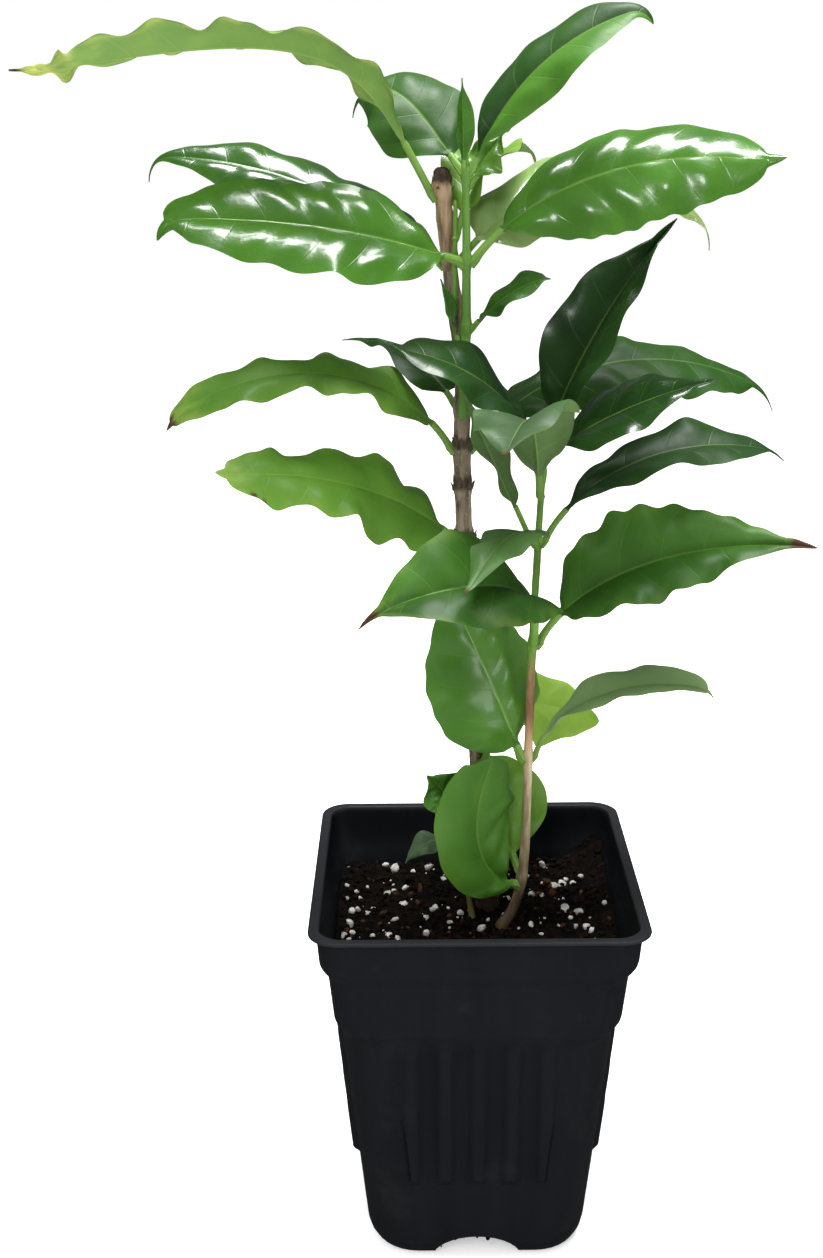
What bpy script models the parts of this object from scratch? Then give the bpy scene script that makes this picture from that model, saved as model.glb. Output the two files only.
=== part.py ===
"""A young coffee plant in a square nursery pot, 0.38 m tall.

The origin is the middle of the pot's flat underside. +Z is up, +X is to the right and -Y faces
the viewer. All sizes here are in millimetres and degrees, and MM turns them into metres.

The plant has an old woody stem whose top was cut off, a green shoot and a slim shoot that grow
from it, a second young stem beside it, and a small seedling at their foot.
"""

from collections import namedtuple
from math import cos, exp, hypot, pi, radians, sin

import bmesh
import bpy
from mathutils import Vector

MM = 0.001
GAP = 0.3

# Pot: the height, outer width and corner radius of each level, from the underside up.
POT_LEVELS = (
    (0.0, 61.5, 12.0),
    (1.0, 66.0, 14.0),
    (3.0, 69.0, 15.5),
    (6.5, 70.8, 16.0),
    (82.0, 84.8, 16.0),
    (86.0, 88.6, 13.0),
    (104.0, 91.4, 11.0),
    (106.2, 93.6, 9.5),
    (109.0, 95.8, 8.5),
    (120.3, 97.4, 8.0),
)
POT_HEIGHT = 121.5
RIM_WIDTH = 102.0
RIM_RADIUS = 9.0
RIM_EDGE = 0.4
WALL = 1.0
CORNER_SEGMENTS = 4

# Each finish's colour and roughness.
FINISHES = {
    "pot plastic": ((0.018, 0.020, 0.023), 0.38),
    "potting mix": ((0.022, 0.015, 0.010), 0.95),
    "bark": ((0.16, 0.11, 0.07), 0.8),
    "tan stem": ((0.38, 0.31, 0.17), 0.65),
    "green stem": ((0.16, 0.33, 0.06), 0.5),
    "leaf green": ((0.06, 0.22, 0.02), 0.3),
}

# Ribs stand out of the pot's lower wall, five on each side.
RIBS = 5
RIB_PITCH = 10.4
RIB_WIDTH = 6.0
RIB_CREST = 3.6
RIB_RISE = 2.1
RIB_FOOT = 31.0
RIB_TOP = 84.0
RIB_ROOT = 0.5
RIB_FOOT_SLOPE = 2.5
RIB_FOOT_RISE = 0.2
RIB_TOP_SLOPE = 3.0
RIB_TOP_RISE = 1.2

# Drains: one arch in the foot of each side wall.
DRAIN_WIDTH = 27.0
DRAIN_HEIGHT = 5.6
DRAIN_DEPTH = 9.0
DRAIN_BELOW = 1.0
DRAIN_SEGMENTS = 8

# Potting mix: it fills the pot from the floor up to this level.
FLOOR = 2.4
FLOOR_INSET = 0.6
SOIL_TOP = 102.0
SOIL_EDGE = 2.0

# A stem starts at its base, and is carried over by its lean, its bow and the sweep at its foot,
# and by a knee to the side where a shoot leaves it. A shoot's base lies beside the stem that
# bears it.
Stem = namedtuple(
    "Stem",
    "name finish foot top base lean bow sweep sweep_height foot_radius tip_radius nodes swelling "
    "knee knee_height",
    defaults=(0.0, 0.0),
)
GROUND = SOIL_TOP + GAP
STEMS = (
    Stem("woody_stem", "bark", GROUND, 337, (4.7, 12.0), (-14.7, -1.0), (0.3, 0.0), (0.0, 0.0),
         1, 2.9, 2.2, (172, 227, 243, 255, 268, 330), 0.5, 2.4, 281),
    Stem("green_shoot", "green stem", 266, 341, (-3.6, 6.5), (0.4, 0.0), (0.6, 0.0), (0.0, -0.9),
         4, 1.7, 0.9, (292, 311, 334), 0.5),
    Stem("slim_shoot", "green stem", 297, 328, (-6.2, 7.6), (0.3, 0.4), (0.0, 0.0), (0.0, -0.4),
         4, 0.8, 0.6, (311,), 0.3),
    Stem("young_stem", "tan stem", GROUND, 265, (8.9, -3.0), (4.0, 0.0), (-1.2, 0.0), (7.3, 0.5),
         9, 1.6, 0.9, (119, 160, 197, 229, 250), 0.35),
    Stem("seedling_stem", "green stem", GROUND, 136, (-0.6, 3.4), (-6.0, 10.0), (0.0, 0.0),
         (0.0, 0.0), 1, 0.8, 0.6, (134,), 0.2),
)
KNEE_REACH = 24.0
FLARE = 0.35
FLARE_HEIGHT = 4.0
NODE_SPAN = 2.2
STEM_SIDES = 8
STEM_STEP = 14.0
FOOT_RINGS = (0.0, 3.0, 8.0)
NODE_RINGS = (-4.0, 0.0, 4.0)
RING_SPACE = 5.0

# A leaf's heading is 0 to the right and 90 away from the viewer. It rises at its foot and has
# drooped by that much at its tip: evenly, sooner or later by its bend, or round a crest, and its
# tip may hook down. Roll lifts its left side and fold lifts both sides. Its margins wave. Skew
# moves its widest place, blunt and heel are the powers of its far and its near half, and drip is
# the length of its tip.
Leaf = namedtuple(
    "Leaf",
    "name stem height heading rise droop length width roll "
    "stalk bend crest sway fold wave waves phase drip skew blunt hook heel",
    defaults=(10, 1.0, 0, 0, 0, 1.2, 2.0, 0, 0.14, 0.95, 0.85, 0, 0.85),
)
BLADE_THICKNESS = 1.3
TIP_HALF_WIDTH = 0.45
TAIL_SHARE = 0.16
TIP_OVERLAP = 0.7
STALK_THICKNESS = 0.45
STALK_GROWTH = 0.02
FADE_RATE = 2.5
ROLL_REACH = 8.0
THINNING = 0.4
LOOK_AHEAD = 0.5
HOOK_START = 0.86
SPREAD_LENGTH = 0.12
ROUND_LENGTH = 0.3
MARGIN_LAG = 2.0
STALK_RINGS = (0.0, 0.35, 0.75)
BLADE_RINGS = (0.0, 0.05, 0.11, 0.18, 0.26, 0.35, 0.44, 0.53, 0.62, 0.7, 0.78, 0.85, 0.91, 0.95, 0.98, 1.0)
RING_POINTS = 8
PATH_STEPS = 60

LEAVES = (
    Leaf("woody_leaf_top", "woody_stem", 329, 194.5, 61, 70, 121, 30.5, 12, stalk=16, crest=0.33,
         sway=-18, fold=13, wave=1.4, waves=1.6, phase=30, drip=0.04, skew=1.1, blunt=0.45,
         hook=-12),
    Leaf("woody_leaf_4_left", "woody_stem", 268, 136, 53, 61, 48, 23, -1, stalk=5, bend=0.7, fold=6,
         wave=1, waves=1.6, phase=200, drip=0.32, skew=0.45, blunt=1),
    Leaf("woody_leaf_3_left", "woody_stem", 255, 191.5, 62.5, 101, 87.5, 28.5, -17, bend=0.8,
         sway=-2, wave=1.4, waves=1.2, phase=295, drip=0.04, skew=0.55, blunt=0.35, hook=16),
    Leaf("woody_leaf_3_right", "woody_stem", 255, 12, 55, 90, 101, 31, 27, bend=0.8, sway=2,
         fold=-13, wave=0.6, waves=2.6, phase=325, drip=0.17, skew=1, blunt=0.5, hook=35),
    Leaf("woody_leaf_1_left", "woody_stem", 227, 203, 47, 47, 77, 28, -44, stalk=6, bend=0.7,
         sway=6, fold=-7, wave=2.5, waves=1.9, phase=85, drip=0.06, skew=0.45, blunt=0.35,
         hook=-15),
    Leaf("woody_leaf_0_right", "woody_stem", 172, 23, -2, 27, 33, 30, 38, stalk=8, bend=1.05,
         sway=-14, fold=-4, wave=1.7, phase=305, drip=0.04, skew=0.5, blunt=0.65, hook=-6),
    Leaf("woody_leaf_0_back", "woody_stem", 180, 84, 35, 70, 62, 22, 0, stalk=8),
    Leaf("green_leaf_1_left", "green_shoot", 288, 189.5, 69.5, -8.5, 17, 6, -59, stalk=2, sway=13,
         fold=21, wave=0.3, waves=1.9, phase=5, drip=0.19, skew=1.15, blunt=0.9, hook=16),
    Leaf("green_leaf_1_right", "green_shoot", 292, 326, 48, 33, 26, 13, 38, stalk=3, bend=1.15,
         sway=14, fold=2, wave=1.1, waves=1.9, phase=325, drip=0.09, skew=1.3, blunt=0.65, hook=24),
    Leaf("green_leaf_2_left", "green_shoot", 311, 196, 20, 22, 85, 34, -47, stalk=5, bend=0.9,
         sway=-4, wave=0.9, waves=2.6, phase=55, drip=0.09, skew=0.7, blunt=0.4, hook=64),
    Leaf("green_leaf_2_right", "green_shoot", 311, 353, 56, 67, 83, 35, 53, stalk=12, bend=0.7,
         sway=-3, fold=-18, wave=0.5, waves=1.3, phase=355, drip=0.09, skew=0.85, blunt=0.45,
         hook=-19),
    Leaf("green_leaf_4_left", "green_shoot", 336, 135, 45, 113.5, 50, 30, -36, stalk=6, crest=1.04,
         sway=3, fold=-12, wave=1.1, waves=2.5, phase=30, drip=0.18, skew=0.75, blunt=0.6, hook=16),
    Leaf("green_leaf_4_right", "green_shoot", 332, 36, 58, 21, 19, 15, 23, stalk=3, bend=1.05,
         sway=-2, fold=6, wave=1.7, waves=2.6, phase=350, drip=0.3, skew=0.45, blunt=1.05, hook=19),
    Leaf("green_leaf_5_left", "green_shoot", 337, 250, 88, 5, 22, 7, 0, stalk=2, fold=40, wave=0.6),
    Leaf("green_leaf_5_right", "green_shoot", 336, 355, 68, 59, 66, 26, 38, stalk=4, bend=1.1,
         sway=2, wave=2.3, waves=1.2, phase=25, drip=0.06, skew=1.25, blunt=1.05, hook=69),
    Leaf("woody_leaf_5_left", "woody_stem", 310, 164, 37, 40, 94, 29, -29, stalk=6, bend=1.05,
         sway=7, fold=-2, wave=2.6, waves=1.2, drip=0.11, skew=0.8, blunt=0.95, hook=82),
    Leaf("slim_leaf_2_back", "slim_shoot", 318, 64, 61, 77, 57, 25, -10, stalk=8, bend=0.85,
         sway=-5, fold=25, wave=2.4, waves=1.8, phase=240, drip=0.33, skew=0.8, blunt=1.1, hook=13),
    Leaf("slim_leaf_2_right", "slim_shoot", 311, 20, 48, 100, 90, 27, 36, stalk=8, bend=1.1,
         fold=-5, wave=2.4, waves=2.7, phase=65, drip=0.19, skew=0.55, blunt=0.65, hook=38),
    Leaf("young_leaf_5_upright", "young_stem", 263, 20, 67, 21, 67, 27, 37, stalk=4, bend=1.05,
         sway=-5, fold=36, wave=1.4, waves=3.1, phase=140, drip=0.18, skew=0.8, blunt=0.8),
    Leaf("young_leaf_5_right", "young_stem", 256, 343, 38, 23, 49, 28, 28, stalk=5, bend=0.95,
         sway=-2, fold=2, wave=0.3, waves=2.6, drip=0.15, skew=0.85, blunt=0.95),
    Leaf("young_leaf_4_left", "young_stem", 251, 193, 94, 86, 50, 27, -27, stalk=12, bend=0.6,
         fold=2, wave=1.5, waves=2.1, phase=305, drip=0.09, skew=1.1, blunt=0.6, hook=-20),
    Leaf("young_leaf_4_front", "young_stem", 244, 254, 70, 89, 57, 30, 10, stalk=7, crest=0.45,
         fold=11, wave=2.1, waves=3.5, phase=65, drip=0.1, skew=1.05, blunt=0.8, hook=-17),
    Leaf("young_leaf_3_left", "young_stem", 229, 172, 66, 2, 38, 18, 29, stalk=12, bend=0.85,
         sway=8, fold=6, wave=1, waves=2.1, phase=85, drip=0.13, skew=0.9, blunt=0.75, hook=-11),
    Leaf("young_leaf_3_right", "young_stem", 229, 7, 68, 86, 73, 24, 19, stalk=12, bend=0.7, sway=3,
         fold=5, wave=1.5, waves=2.1, phase=345, drip=0.12, skew=1.2, blunt=0.65, hook=25),
    Leaf("young_leaf_3_front", "young_stem", 229, 253, 37, 79, 54, 19, 5, stalk=6, sway=-15,
         fold=-6, waves=3, phase=10, drip=0.11, skew=0.8, blunt=0.9, hook=-30),
    Leaf("young_leaf_2_right", "young_stem", 197, 357, 77, 79, 80, 33, 46, stalk=12, bend=0.45,
         sway=-15, fold=21, wave=2.6, waves=1.3, phase=275, drip=0.15, skew=0.7, blunt=0.8, hook=3),
    Leaf("young_leaf_2_front", "young_stem", 197, 275, 65, 103, 76, 35, -35, stalk=12, sway=-109,
         fold=14, wave=2.7, waves=1.2, phase=45, skew=1, hook=9),
    Leaf("young_leaf_1_right", "young_stem", 160, 354, 84, 97, 58, 18, 12, stalk=8, bend=0.6,
         sway=-2, fold=13, wave=0.5, waves=1.9, phase=220, drip=0.07, skew=1.05, blunt=0.4,
         hook=38),
    Leaf("young_leaf_1_left", "young_stem", 160, 188, 71, 6, 60, 41.5, -62, stalk=5, bend=0.6,
         sway=-10, fold=-13, wave=2, waves=1.2, phase=15, skew=0.65, blunt=0.75, hook=-40,
         heel=0.9),
    Leaf("young_leaf_0_left", "young_stem", 117, 211.5, 22.5, -112.5, 51.5, 38.5, -82, stalk=2,
         bend=0.9, sway=16, wave=2, waves=1.2, phase=315, drip=0.03, skew=1.45, blunt=0.35, hook=31,
         heel=0.55),
    Leaf("young_leaf_0_back", "young_stem", 121, 128, 56, -35.5, 36, 39, -37, stalk=5, bend=1.4,
         sway=40, fold=-6, wave=2, waves=1.4, phase=335, drip=0.12, skew=0.8, blunt=0.45, hook=-23,
         heel=1),
    Leaf("seedling_leaf_left", "seedling_stem", 134, 192, 95, 62, 12.5, 18, -78, stalk=4, bend=0.8,
         sway=-13, fold=9, wave=1, waves=2.3, phase=125, drip=0.17, skew=0.65, blunt=0.8, hook=-17,
         heel=0.4),
    Leaf("seedling_leaf_front", "seedling_stem", 126, 201, 26, 86, 18, 9, -20, stalk=2, wave=0.8),
)


def remove_start_objects():
    """Clears the scene that the file opens with."""
    for item in list(bpy.data.objects):
        bpy.data.objects.remove(item)


def make_material(name, colour, roughness):
    """A plain surface of one colour."""
    material = bpy.data.materials.new(name)
    material.use_nodes = True
    shader = material.node_tree.nodes["Principled BSDF"]
    shader.inputs["Base Color"].default_value = (*colour, 1.0)
    shader.inputs["Roughness"].default_value = roughness
    shader.inputs["Metallic"].default_value = 0.0
    return material


def add_object(name, rings_of_bodies, material, smooth_angle):
    """One object made of closed bodies, each a list of rings in millimetres."""
    mesh_data = bmesh.new()
    for rings in rings_of_bodies:
        loft(mesh_data, rings)
    bmesh.ops.triangulate(mesh_data, faces=mesh_data.faces)
    mesh = bpy.data.meshes.new(name)
    mesh_data.to_mesh(mesh)
    mesh_data.free()
    mesh.shade_smooth()
    mesh.set_sharp_from_angle(angle=radians(smooth_angle))
    mesh.materials.append(material)
    item = bpy.data.objects.new(name, mesh)
    bpy.context.collection.objects.link(item)
    return item


def loft(mesh_data, rings):
    """Joins rings of equal count, anticlockwise about their route, into a body with flat ends."""
    loops = [[mesh_data.verts.new(point * MM) for point in ring] for ring in rings]
    count = len(loops[0])
    for lower, upper in zip(loops, loops[1:]):
        for index in range(count):
            following = (index + 1) % count
            corners = (lower[index], lower[following], upper[following], upper[index])
            mesh_data.faces.new(corners)
    mesh_data.faces.new(list(reversed(loops[0])))
    mesh_data.faces.new(loops[-1])


def smoothstep(value):
    """Eases from 0 to 1."""
    clipped = min(max(value, 0.0), 1.0)
    return clipped * clipped * (3.0 - 2.0 * clipped)


def turned(point, turn):
    """A point turned about the pot's upright axis."""
    across = point.x * cos(turn) - point.y * sin(turn)
    along = point.x * sin(turn) + point.y * cos(turn)
    return Vector((across, along, point.z))


def rounded_square(width, radius, height):
    """Points round a square with round corners, anticlockwise."""
    inset = width / 2 - radius
    points = []
    for quarter in range(4):
        for step in range(CORNER_SEGMENTS + 1):
            angle = (step / CORNER_SEGMENTS) * pi / 2
            corner = Vector((inset + radius * cos(angle), inset + radius * sin(angle), height))
            points.append(turned(corner, quarter * pi / 2))
    return points


def pot_size(height):
    """The pot's outer width and corner radius at a height."""
    for lower, upper in zip(POT_LEVELS, POT_LEVELS[1:]):
        if height <= upper[0]:
            share = (height - lower[0]) / (upper[0] - lower[0])
            return [low + share * (high - low) for low, high in zip(lower[1:], upper[1:])]
    return POT_LEVELS[-1][1:]


def inside_ring(height, clearance):
    """A ring within the wall, at a clearance from its inner side."""
    width, radius = pot_size(height)
    inset = WALL + clearance
    return rounded_square(width - 2 * inset, radius - inset, height)


def make_pot(material):
    """The thin square pot with its flat rim, its ribs and four drain arches."""
    outer = [rounded_square(width, radius, height) for height, width, radius in POT_LEVELS]
    rim = [
        rounded_square(RIM_WIDTH, RIM_RADIUS, POT_LEVELS[-1][0]),
        rounded_square(RIM_WIDTH, RIM_RADIUS, POT_HEIGHT - RIM_EDGE),
        rounded_square(RIM_WIDTH - 2 * RIM_EDGE, RIM_RADIUS - RIM_EDGE, POT_HEIGHT),
    ]
    mouth_width, mouth_radius = pot_size(POT_HEIGHT)
    mouth = [rounded_square(mouth_width - 2 * WALL, mouth_radius - WALL, POT_HEIGHT)]
    inner = [inside_ring(height, 0.0) for height, _, _ in reversed(POT_LEVELS) if height > FLOOR]
    floor = [inside_ring(FLOOR, FLOOR_INSET)]
    pot = add_object("pot", [outer + rim + mouth + inner + floor], material, 30)
    add_boolean(pot, "UNION", add_object("pot_ribs", list(rib_bodies()), material, 30))
    add_boolean(pot, "DIFFERENCE", add_object("pot_drains", list(drain_bodies()), material, 30))


def add_boolean(item, operation, tool):
    """Joins a tool to an object or cuts it away, and hides the tool."""
    tool.hide_render = True
    tool.display_type = "WIRE"
    step = item.modifiers.new(tool.name, "BOOLEAN")
    step.operation = operation
    step.solver = "EXACT"
    step.object = tool


def rib_bodies():
    """Upright ribs on the four side walls, blunt at the foot and running out at the top."""
    for side in range(4):
        for index in range(RIBS):
            middle = (index - (RIBS - 1) / 2) * RIB_PITCH
            levels = (
                (RIB_FOOT - RIB_FOOT_SLOPE, RIB_FOOT_RISE),
                (RIB_FOOT, RIB_RISE),
                (RIB_TOP - RIB_TOP_SLOPE, RIB_RISE),
                (RIB_TOP, RIB_TOP_RISE),
            )
            yield [rib_ring(height, rise, middle, side * pi / 2) for height, rise in levels]


def rib_ring(height, rise, middle, turn):
    """Four points of a rib's section, from a root in the wall to its crest."""
    wall = pot_size(height)[0] / 2
    corners = (
        (wall - RIB_ROOT, middle - RIB_WIDTH / 2),
        (wall + rise, middle - RIB_CREST / 2),
        (wall + rise, middle + RIB_CREST / 2),
        (wall - RIB_ROOT, middle + RIB_WIDTH / 2),
    )
    return [turned(Vector((reach, across, height)), turn) for reach, across in corners]


def drain_bodies():
    """Arched prisms that open the foot of each side wall."""
    half = POT_LEVELS[0][1] / 2
    outline = [(DRAIN_WIDTH / 2, -DRAIN_BELOW)]
    for step in range(DRAIN_SEGMENTS + 1):
        angle = pi * step / DRAIN_SEGMENTS
        outline.append((cos(angle) * DRAIN_WIDTH / 2, max(sin(angle), 0.0) * DRAIN_HEIGHT))
    outline.append((-DRAIN_WIDTH / 2, -DRAIN_BELOW))
    for side in range(4):
        yield [
            [turned(Vector((reach, across, height)), side * pi / 2) for across, height in outline]
            for reach in (half - DRAIN_DEPTH, half + DRAIN_DEPTH)
        ]


def make_soil(material):
    """The potting mix, clear of the wall by the gap all round."""
    levels = [height for height, _, _ in POT_LEVELS if FLOOR < height < SOIL_TOP - SOIL_EDGE]
    rings = [inside_ring(FLOOR + GAP, FLOOR_INSET + GAP)]
    rings += [inside_ring(height, GAP) for height in levels]
    rings.append(inside_ring(SOIL_TOP - SOIL_EDGE / 2, GAP))
    top = inside_ring(SOIL_TOP, GAP + SOIL_EDGE)
    return add_object("soil", [rings + [top]], material, 40)


def stem_centre(stem, height):
    """The middle of a stem at a height above the underside."""
    climb = height - stem.foot
    part = climb / (stem.top - stem.foot)
    swept = 1.0 - exp(-max(climb, 0.0) / stem.sweep_height)
    place = [
        stem.base[axis] + stem.lean[axis] * part + stem.bow[axis] * sin(pi * part)
        + stem.sweep[axis] * swept
        for axis in (0, 1)
    ]
    place[0] += stem.knee * exp(-(((height - stem.knee_height) / KNEE_REACH) ** 2))
    return Vector((*place, height))


def stem_radius(stem, height):
    """A true taper, with a small swelling at each leaf node and a flare at ground level."""
    climb = height - stem.foot
    taper = stem.foot_radius + (stem.tip_radius - stem.foot_radius) * climb / (stem.top - stem.foot)
    flare = FLARE * stem.foot_radius * exp(-max(climb, 0.0) / FLARE_HEIGHT) * (stem.foot == GROUND)
    swelling = sum(stem.swelling * exp(-(((height - node) / NODE_SPAN) ** 2)) for node in stem.nodes)
    return taper + flare + swelling


def stem_heights(stem):
    """Ring heights: close together at the foot and round the nodes."""
    heights = {stem.top} | {stem.foot + rise for rise in FOOT_RINGS}
    for node in stem.nodes:
        heights.update(node + rise for rise in NODE_RINGS)
    step = stem.foot + FOOT_RINGS[-1]
    while step < stem.top:
        if all(abs(step - other) > RING_SPACE for other in heights):
            heights.add(step)
        step += STEM_STEP
    return sorted(height for height in heights if stem.foot <= height <= stem.top)


def make_stem(stem, material):
    """A round tapering stem, with a flat cut where it stands on the ground."""
    rings = []
    for height in stem_heights(stem):
        middle = stem_centre(stem, height)
        radius = stem_radius(stem, height)
        ahead = stem_centre(stem, height + LOOK_AHEAD) - stem_centre(stem, height - LOOK_AHEAD)
        if height == GROUND:
            ahead = Vector((0.0, 0.0, 1.0))
        tilt = Vector((0.0, 0.0, 1.0)).rotation_difference(ahead)
        angles = [2 * pi * side / STEM_SIDES for side in range(STEM_SIDES)]
        rings.append([middle + tilt @ Vector((radius * cos(a), radius * sin(a), 0.0)) for a in angles])
    return add_object(stem.name, [rings], material, 60)


def stalk_radius(leaf):
    """Bigger leaves have thicker stalks."""
    return STALK_THICKNESS + STALK_GROWTH * leaf.width


def drooped(leaf, part):
    """How much of its droop a leaf has made at a part of the way to its tip."""
    if leaf.crest:
        return part ** 4 * (1.0 + leaf.crest ** 4) / (part ** 4 + leaf.crest ** 4)
    return part ** leaf.bend


def leaf_route(leaf):
    """Places and directions along the stalk and the middle vein, from the foot."""
    step = (leaf.stalk + leaf.length) / PATH_STEPS
    place = Vector((0.0, 0.0, 0.0))
    route = []
    for index in range(PATH_STEPS + 1):
        part = index / PATH_STEPS
        hooked = leaf.hook * smoothstep((part - HOOK_START) / (1.0 - HOOK_START))
        rise = radians(leaf.rise - leaf.droop * drooped(leaf, part) - hooked)
        heading = radians(leaf.heading + leaf.sway * part)
        forward = Vector((cos(heading) * cos(rise), sin(heading) * cos(rise), sin(rise)))
        left = Vector((-sin(heading), cos(heading), 0.0))
        route.append((place.copy(), forward, left))
        place += forward * step
    return route


def route_at(route, part):
    """The place, forward and left directions at a part of the way along."""
    where = min(max(part, 0.0), 1.0) * (len(route) - 1)
    index = min(int(where), len(route) - 2)
    share = where - index
    return [first.lerp(second, share) for first, second in zip(route[index], route[index + 1])]


def half_width(leaf, along):
    """A leaf's half width along its blade: widest near the middle, with a narrow drip tip."""
    bent = min(along / (1.0 - TIP_OVERLAP * leaf.drip), 1.0) ** leaf.skew
    power = leaf.heel if bent < 0.5 else leaf.blunt
    body = max(sin(pi * bent), 0.0) ** power
    tail = TAIL_SHARE * min((1.0 - along) / leaf.drip, 1.0) * smoothstep(along * 2.0 - 0.6)
    joint = stalk_radius(leaf) * (1.0 - along) ** 4
    return max(hypot(leaf.width / 2 * hypot(body, tail), joint), TIP_HALF_WIDTH)


def blade_offset(leaf, along, across):
    """Sideways and upward distance of a point on the folded and wavy blade."""
    spread = smoothstep(along / SPREAD_LENGTH)
    fold = radians(leaf.fold) * spread
    width = half_width(leaf, along) * abs(across)
    lag = 0.0 if across > 0 else MARGIN_LAG
    swing = sin(2 * pi * leaf.waves * along + radians(leaf.phase) + lag)
    fading = spread * min(1.0, FADE_RATE * (1.0 - along))
    lift = width * sin(fold) + leaf.wave * abs(across) ** 1.5 * swing * fading
    side = width * cos(fold)
    return (side if across > 0 else -side), lift


def leaf_frame(leaf, route, along):
    """Place, left and up directions at a place on the stalk (-1 to 0) or the blade (0 to 1)."""
    reach = leaf.stalk * (1.0 + along) if along < 0 else leaf.stalk + along * leaf.length
    place, forward, left = route_at(route, reach / (leaf.stalk + leaf.length))
    up = forward.cross(left)
    eased = smoothstep(reach / (leaf.stalk + ROLL_REACH))
    turn = radians(leaf.roll * eased)
    return place, left * cos(turn) + up * sin(turn), up * cos(turn) - left * sin(turn)


def leaf_ring(leaf, route, along):
    """Eight points round the stalk or the blade."""
    place, left, up = leaf_frame(leaf, route, along)
    round_part = 1.0 - smoothstep(along / ROUND_LENGTH)
    blade = BLADE_THICKNESS / 2 * (1.0 - THINNING * along)
    thick = stalk_radius(leaf) * round_part + blade * (1.0 - round_part)
    ring = []
    for index in range(RING_POINTS):
        angle = 2 * pi * index / RING_POINTS
        side, lift = stalk_radius(leaf) * cos(angle), 0.0
        if along > 0:
            side, lift = blade_offset(leaf, along, cos(angle))
        ring.append(place + left * side + up * (lift + sin(angle) * thick))
    return ring


def seat_shift(stem, points, outward, start):
    """How far a leaf moves out, so that its foot clears the stem by the gap."""
    shift = 0.0
    for point in points:
        placed = start + point
        clear = stem_radius(stem, placed.z) + GAP
        shift = max(shift, clear - (placed - stem_centre(stem, placed.z)).dot(outward))
    return shift


def make_leaf(leaf, stems, material):
    """One leaf, stalk and blade in one body, seated beside its stem."""
    route = leaf_route(leaf)
    stations = [part - 1.0 for part in STALK_RINGS] + list(BLADE_RINGS)
    rings = [leaf_ring(leaf, route, along) for along in stations]
    stem = stems[leaf.stem]
    outward = Vector((cos(radians(leaf.heading)), sin(radians(leaf.heading)), 0.0))
    start = stem_centre(stem, leaf.height)
    start += outward * seat_shift(stem, rings[0] + rings[1], outward, start)
    return add_object(leaf.name, [[[start + point for point in ring] for ring in rings]], material, 50)


def main():
    remove_start_objects()
    finishes = {name: make_material(name, *look) for name, look in FINISHES.items()}
    make_pot(finishes["pot plastic"])
    make_soil(finishes["potting mix"])
    stems = {stem.name: stem for stem in STEMS}
    for stem in STEMS:
        make_stem(stem, finishes[stem.finish])
    for leaf in LEAVES:
        make_leaf(leaf, stems, finishes["leaf green"])


main()
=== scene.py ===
"""The looks of a young coffee plant in a square nursery pot.

Lengths in the tables are in millimetres and angles in degrees, as in the plant's solids, and MM
turns them into metres. The camera's and the lamps' places are in metres. The origin is the middle
of the pot's underside, +Z is up and -Y faces the viewer.
"""

from collections import namedtuple
from math import cos, exp, pi, radians, sin

import bmesh
import bpy
import numpy as np
from mathutils import Matrix, Vector


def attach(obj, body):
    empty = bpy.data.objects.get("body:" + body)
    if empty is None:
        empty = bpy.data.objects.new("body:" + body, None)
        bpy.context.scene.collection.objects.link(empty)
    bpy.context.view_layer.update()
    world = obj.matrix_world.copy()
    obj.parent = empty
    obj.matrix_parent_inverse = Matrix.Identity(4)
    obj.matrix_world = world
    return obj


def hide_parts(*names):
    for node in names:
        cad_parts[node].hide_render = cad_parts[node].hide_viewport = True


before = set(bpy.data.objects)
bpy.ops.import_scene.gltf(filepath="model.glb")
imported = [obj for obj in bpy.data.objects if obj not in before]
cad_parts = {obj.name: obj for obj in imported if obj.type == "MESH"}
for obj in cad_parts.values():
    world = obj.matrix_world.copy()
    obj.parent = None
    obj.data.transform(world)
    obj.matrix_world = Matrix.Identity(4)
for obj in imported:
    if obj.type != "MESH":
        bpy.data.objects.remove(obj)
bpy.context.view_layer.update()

MM = 0.001

# The camera of the photograph, fitted to the pot's corners.
CAMERA_PLACE = (-0.0183, -0.4695, 0.3498)
CAMERA_PITCH = 17.53
CAMERA_YAW = 0.15
CAMERA_ROLL = -0.48
CAMERA_LENS = 46.07

# The studio's light. Each lamp has a name, its place, the point that it looks at, its size and
# its power.
WHITE = (1.0, 1.0, 1.0, 1.0)
WORLD_LIGHT = 0.30
MIRRORED_WORLD = 0.10
SUN_LIGHT = 1.22
SUN_SPREAD = 70.0
SUN_TILT = (12.0, -14.0)
CROWN = (0.0, 0.0, 0.28)
STEM_MIDDLE = (0.0, 0.0, 0.2)
LAMPS = (
    ("overhead_lamp", (0.00, 0.22, 1.37), CROWN, 0.44, 19.0),
    ("second_lamp", (0.30, -0.12, 1.35), CROWN, 0.30, 8.0),
    ("front_lamp", (-0.23, -0.97, 0.96), CROWN, 0.24, 4.0),
    ("right_lamp", (0.92, -0.45, 0.26), STEM_MIDDLE, 0.25, 2.0),
)
FLOOR_GLOW = 0.49
FLOOR_REACH = 4000.0
FLOOR_DROP = 0.4

# Pot: the height, outer width and corner radius of each level, from the underside up.
POT_LEVELS = (
    (0.0, 61.5, 12.0),
    (1.0, 66.0, 14.0),
    (3.0, 69.0, 15.5),
    (6.5, 70.8, 16.0),
    (82.0, 84.8, 16.0),
    (86.0, 88.6, 13.0),
    (104.0, 91.4, 11.0),
    (106.2, 93.6, 9.5),
    (109.0, 95.8, 8.5),
    (120.3, 97.4, 8.0),
)
WALL = 1.0
WALL_TOP = 119.0
FLOOR = 2.4
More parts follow.
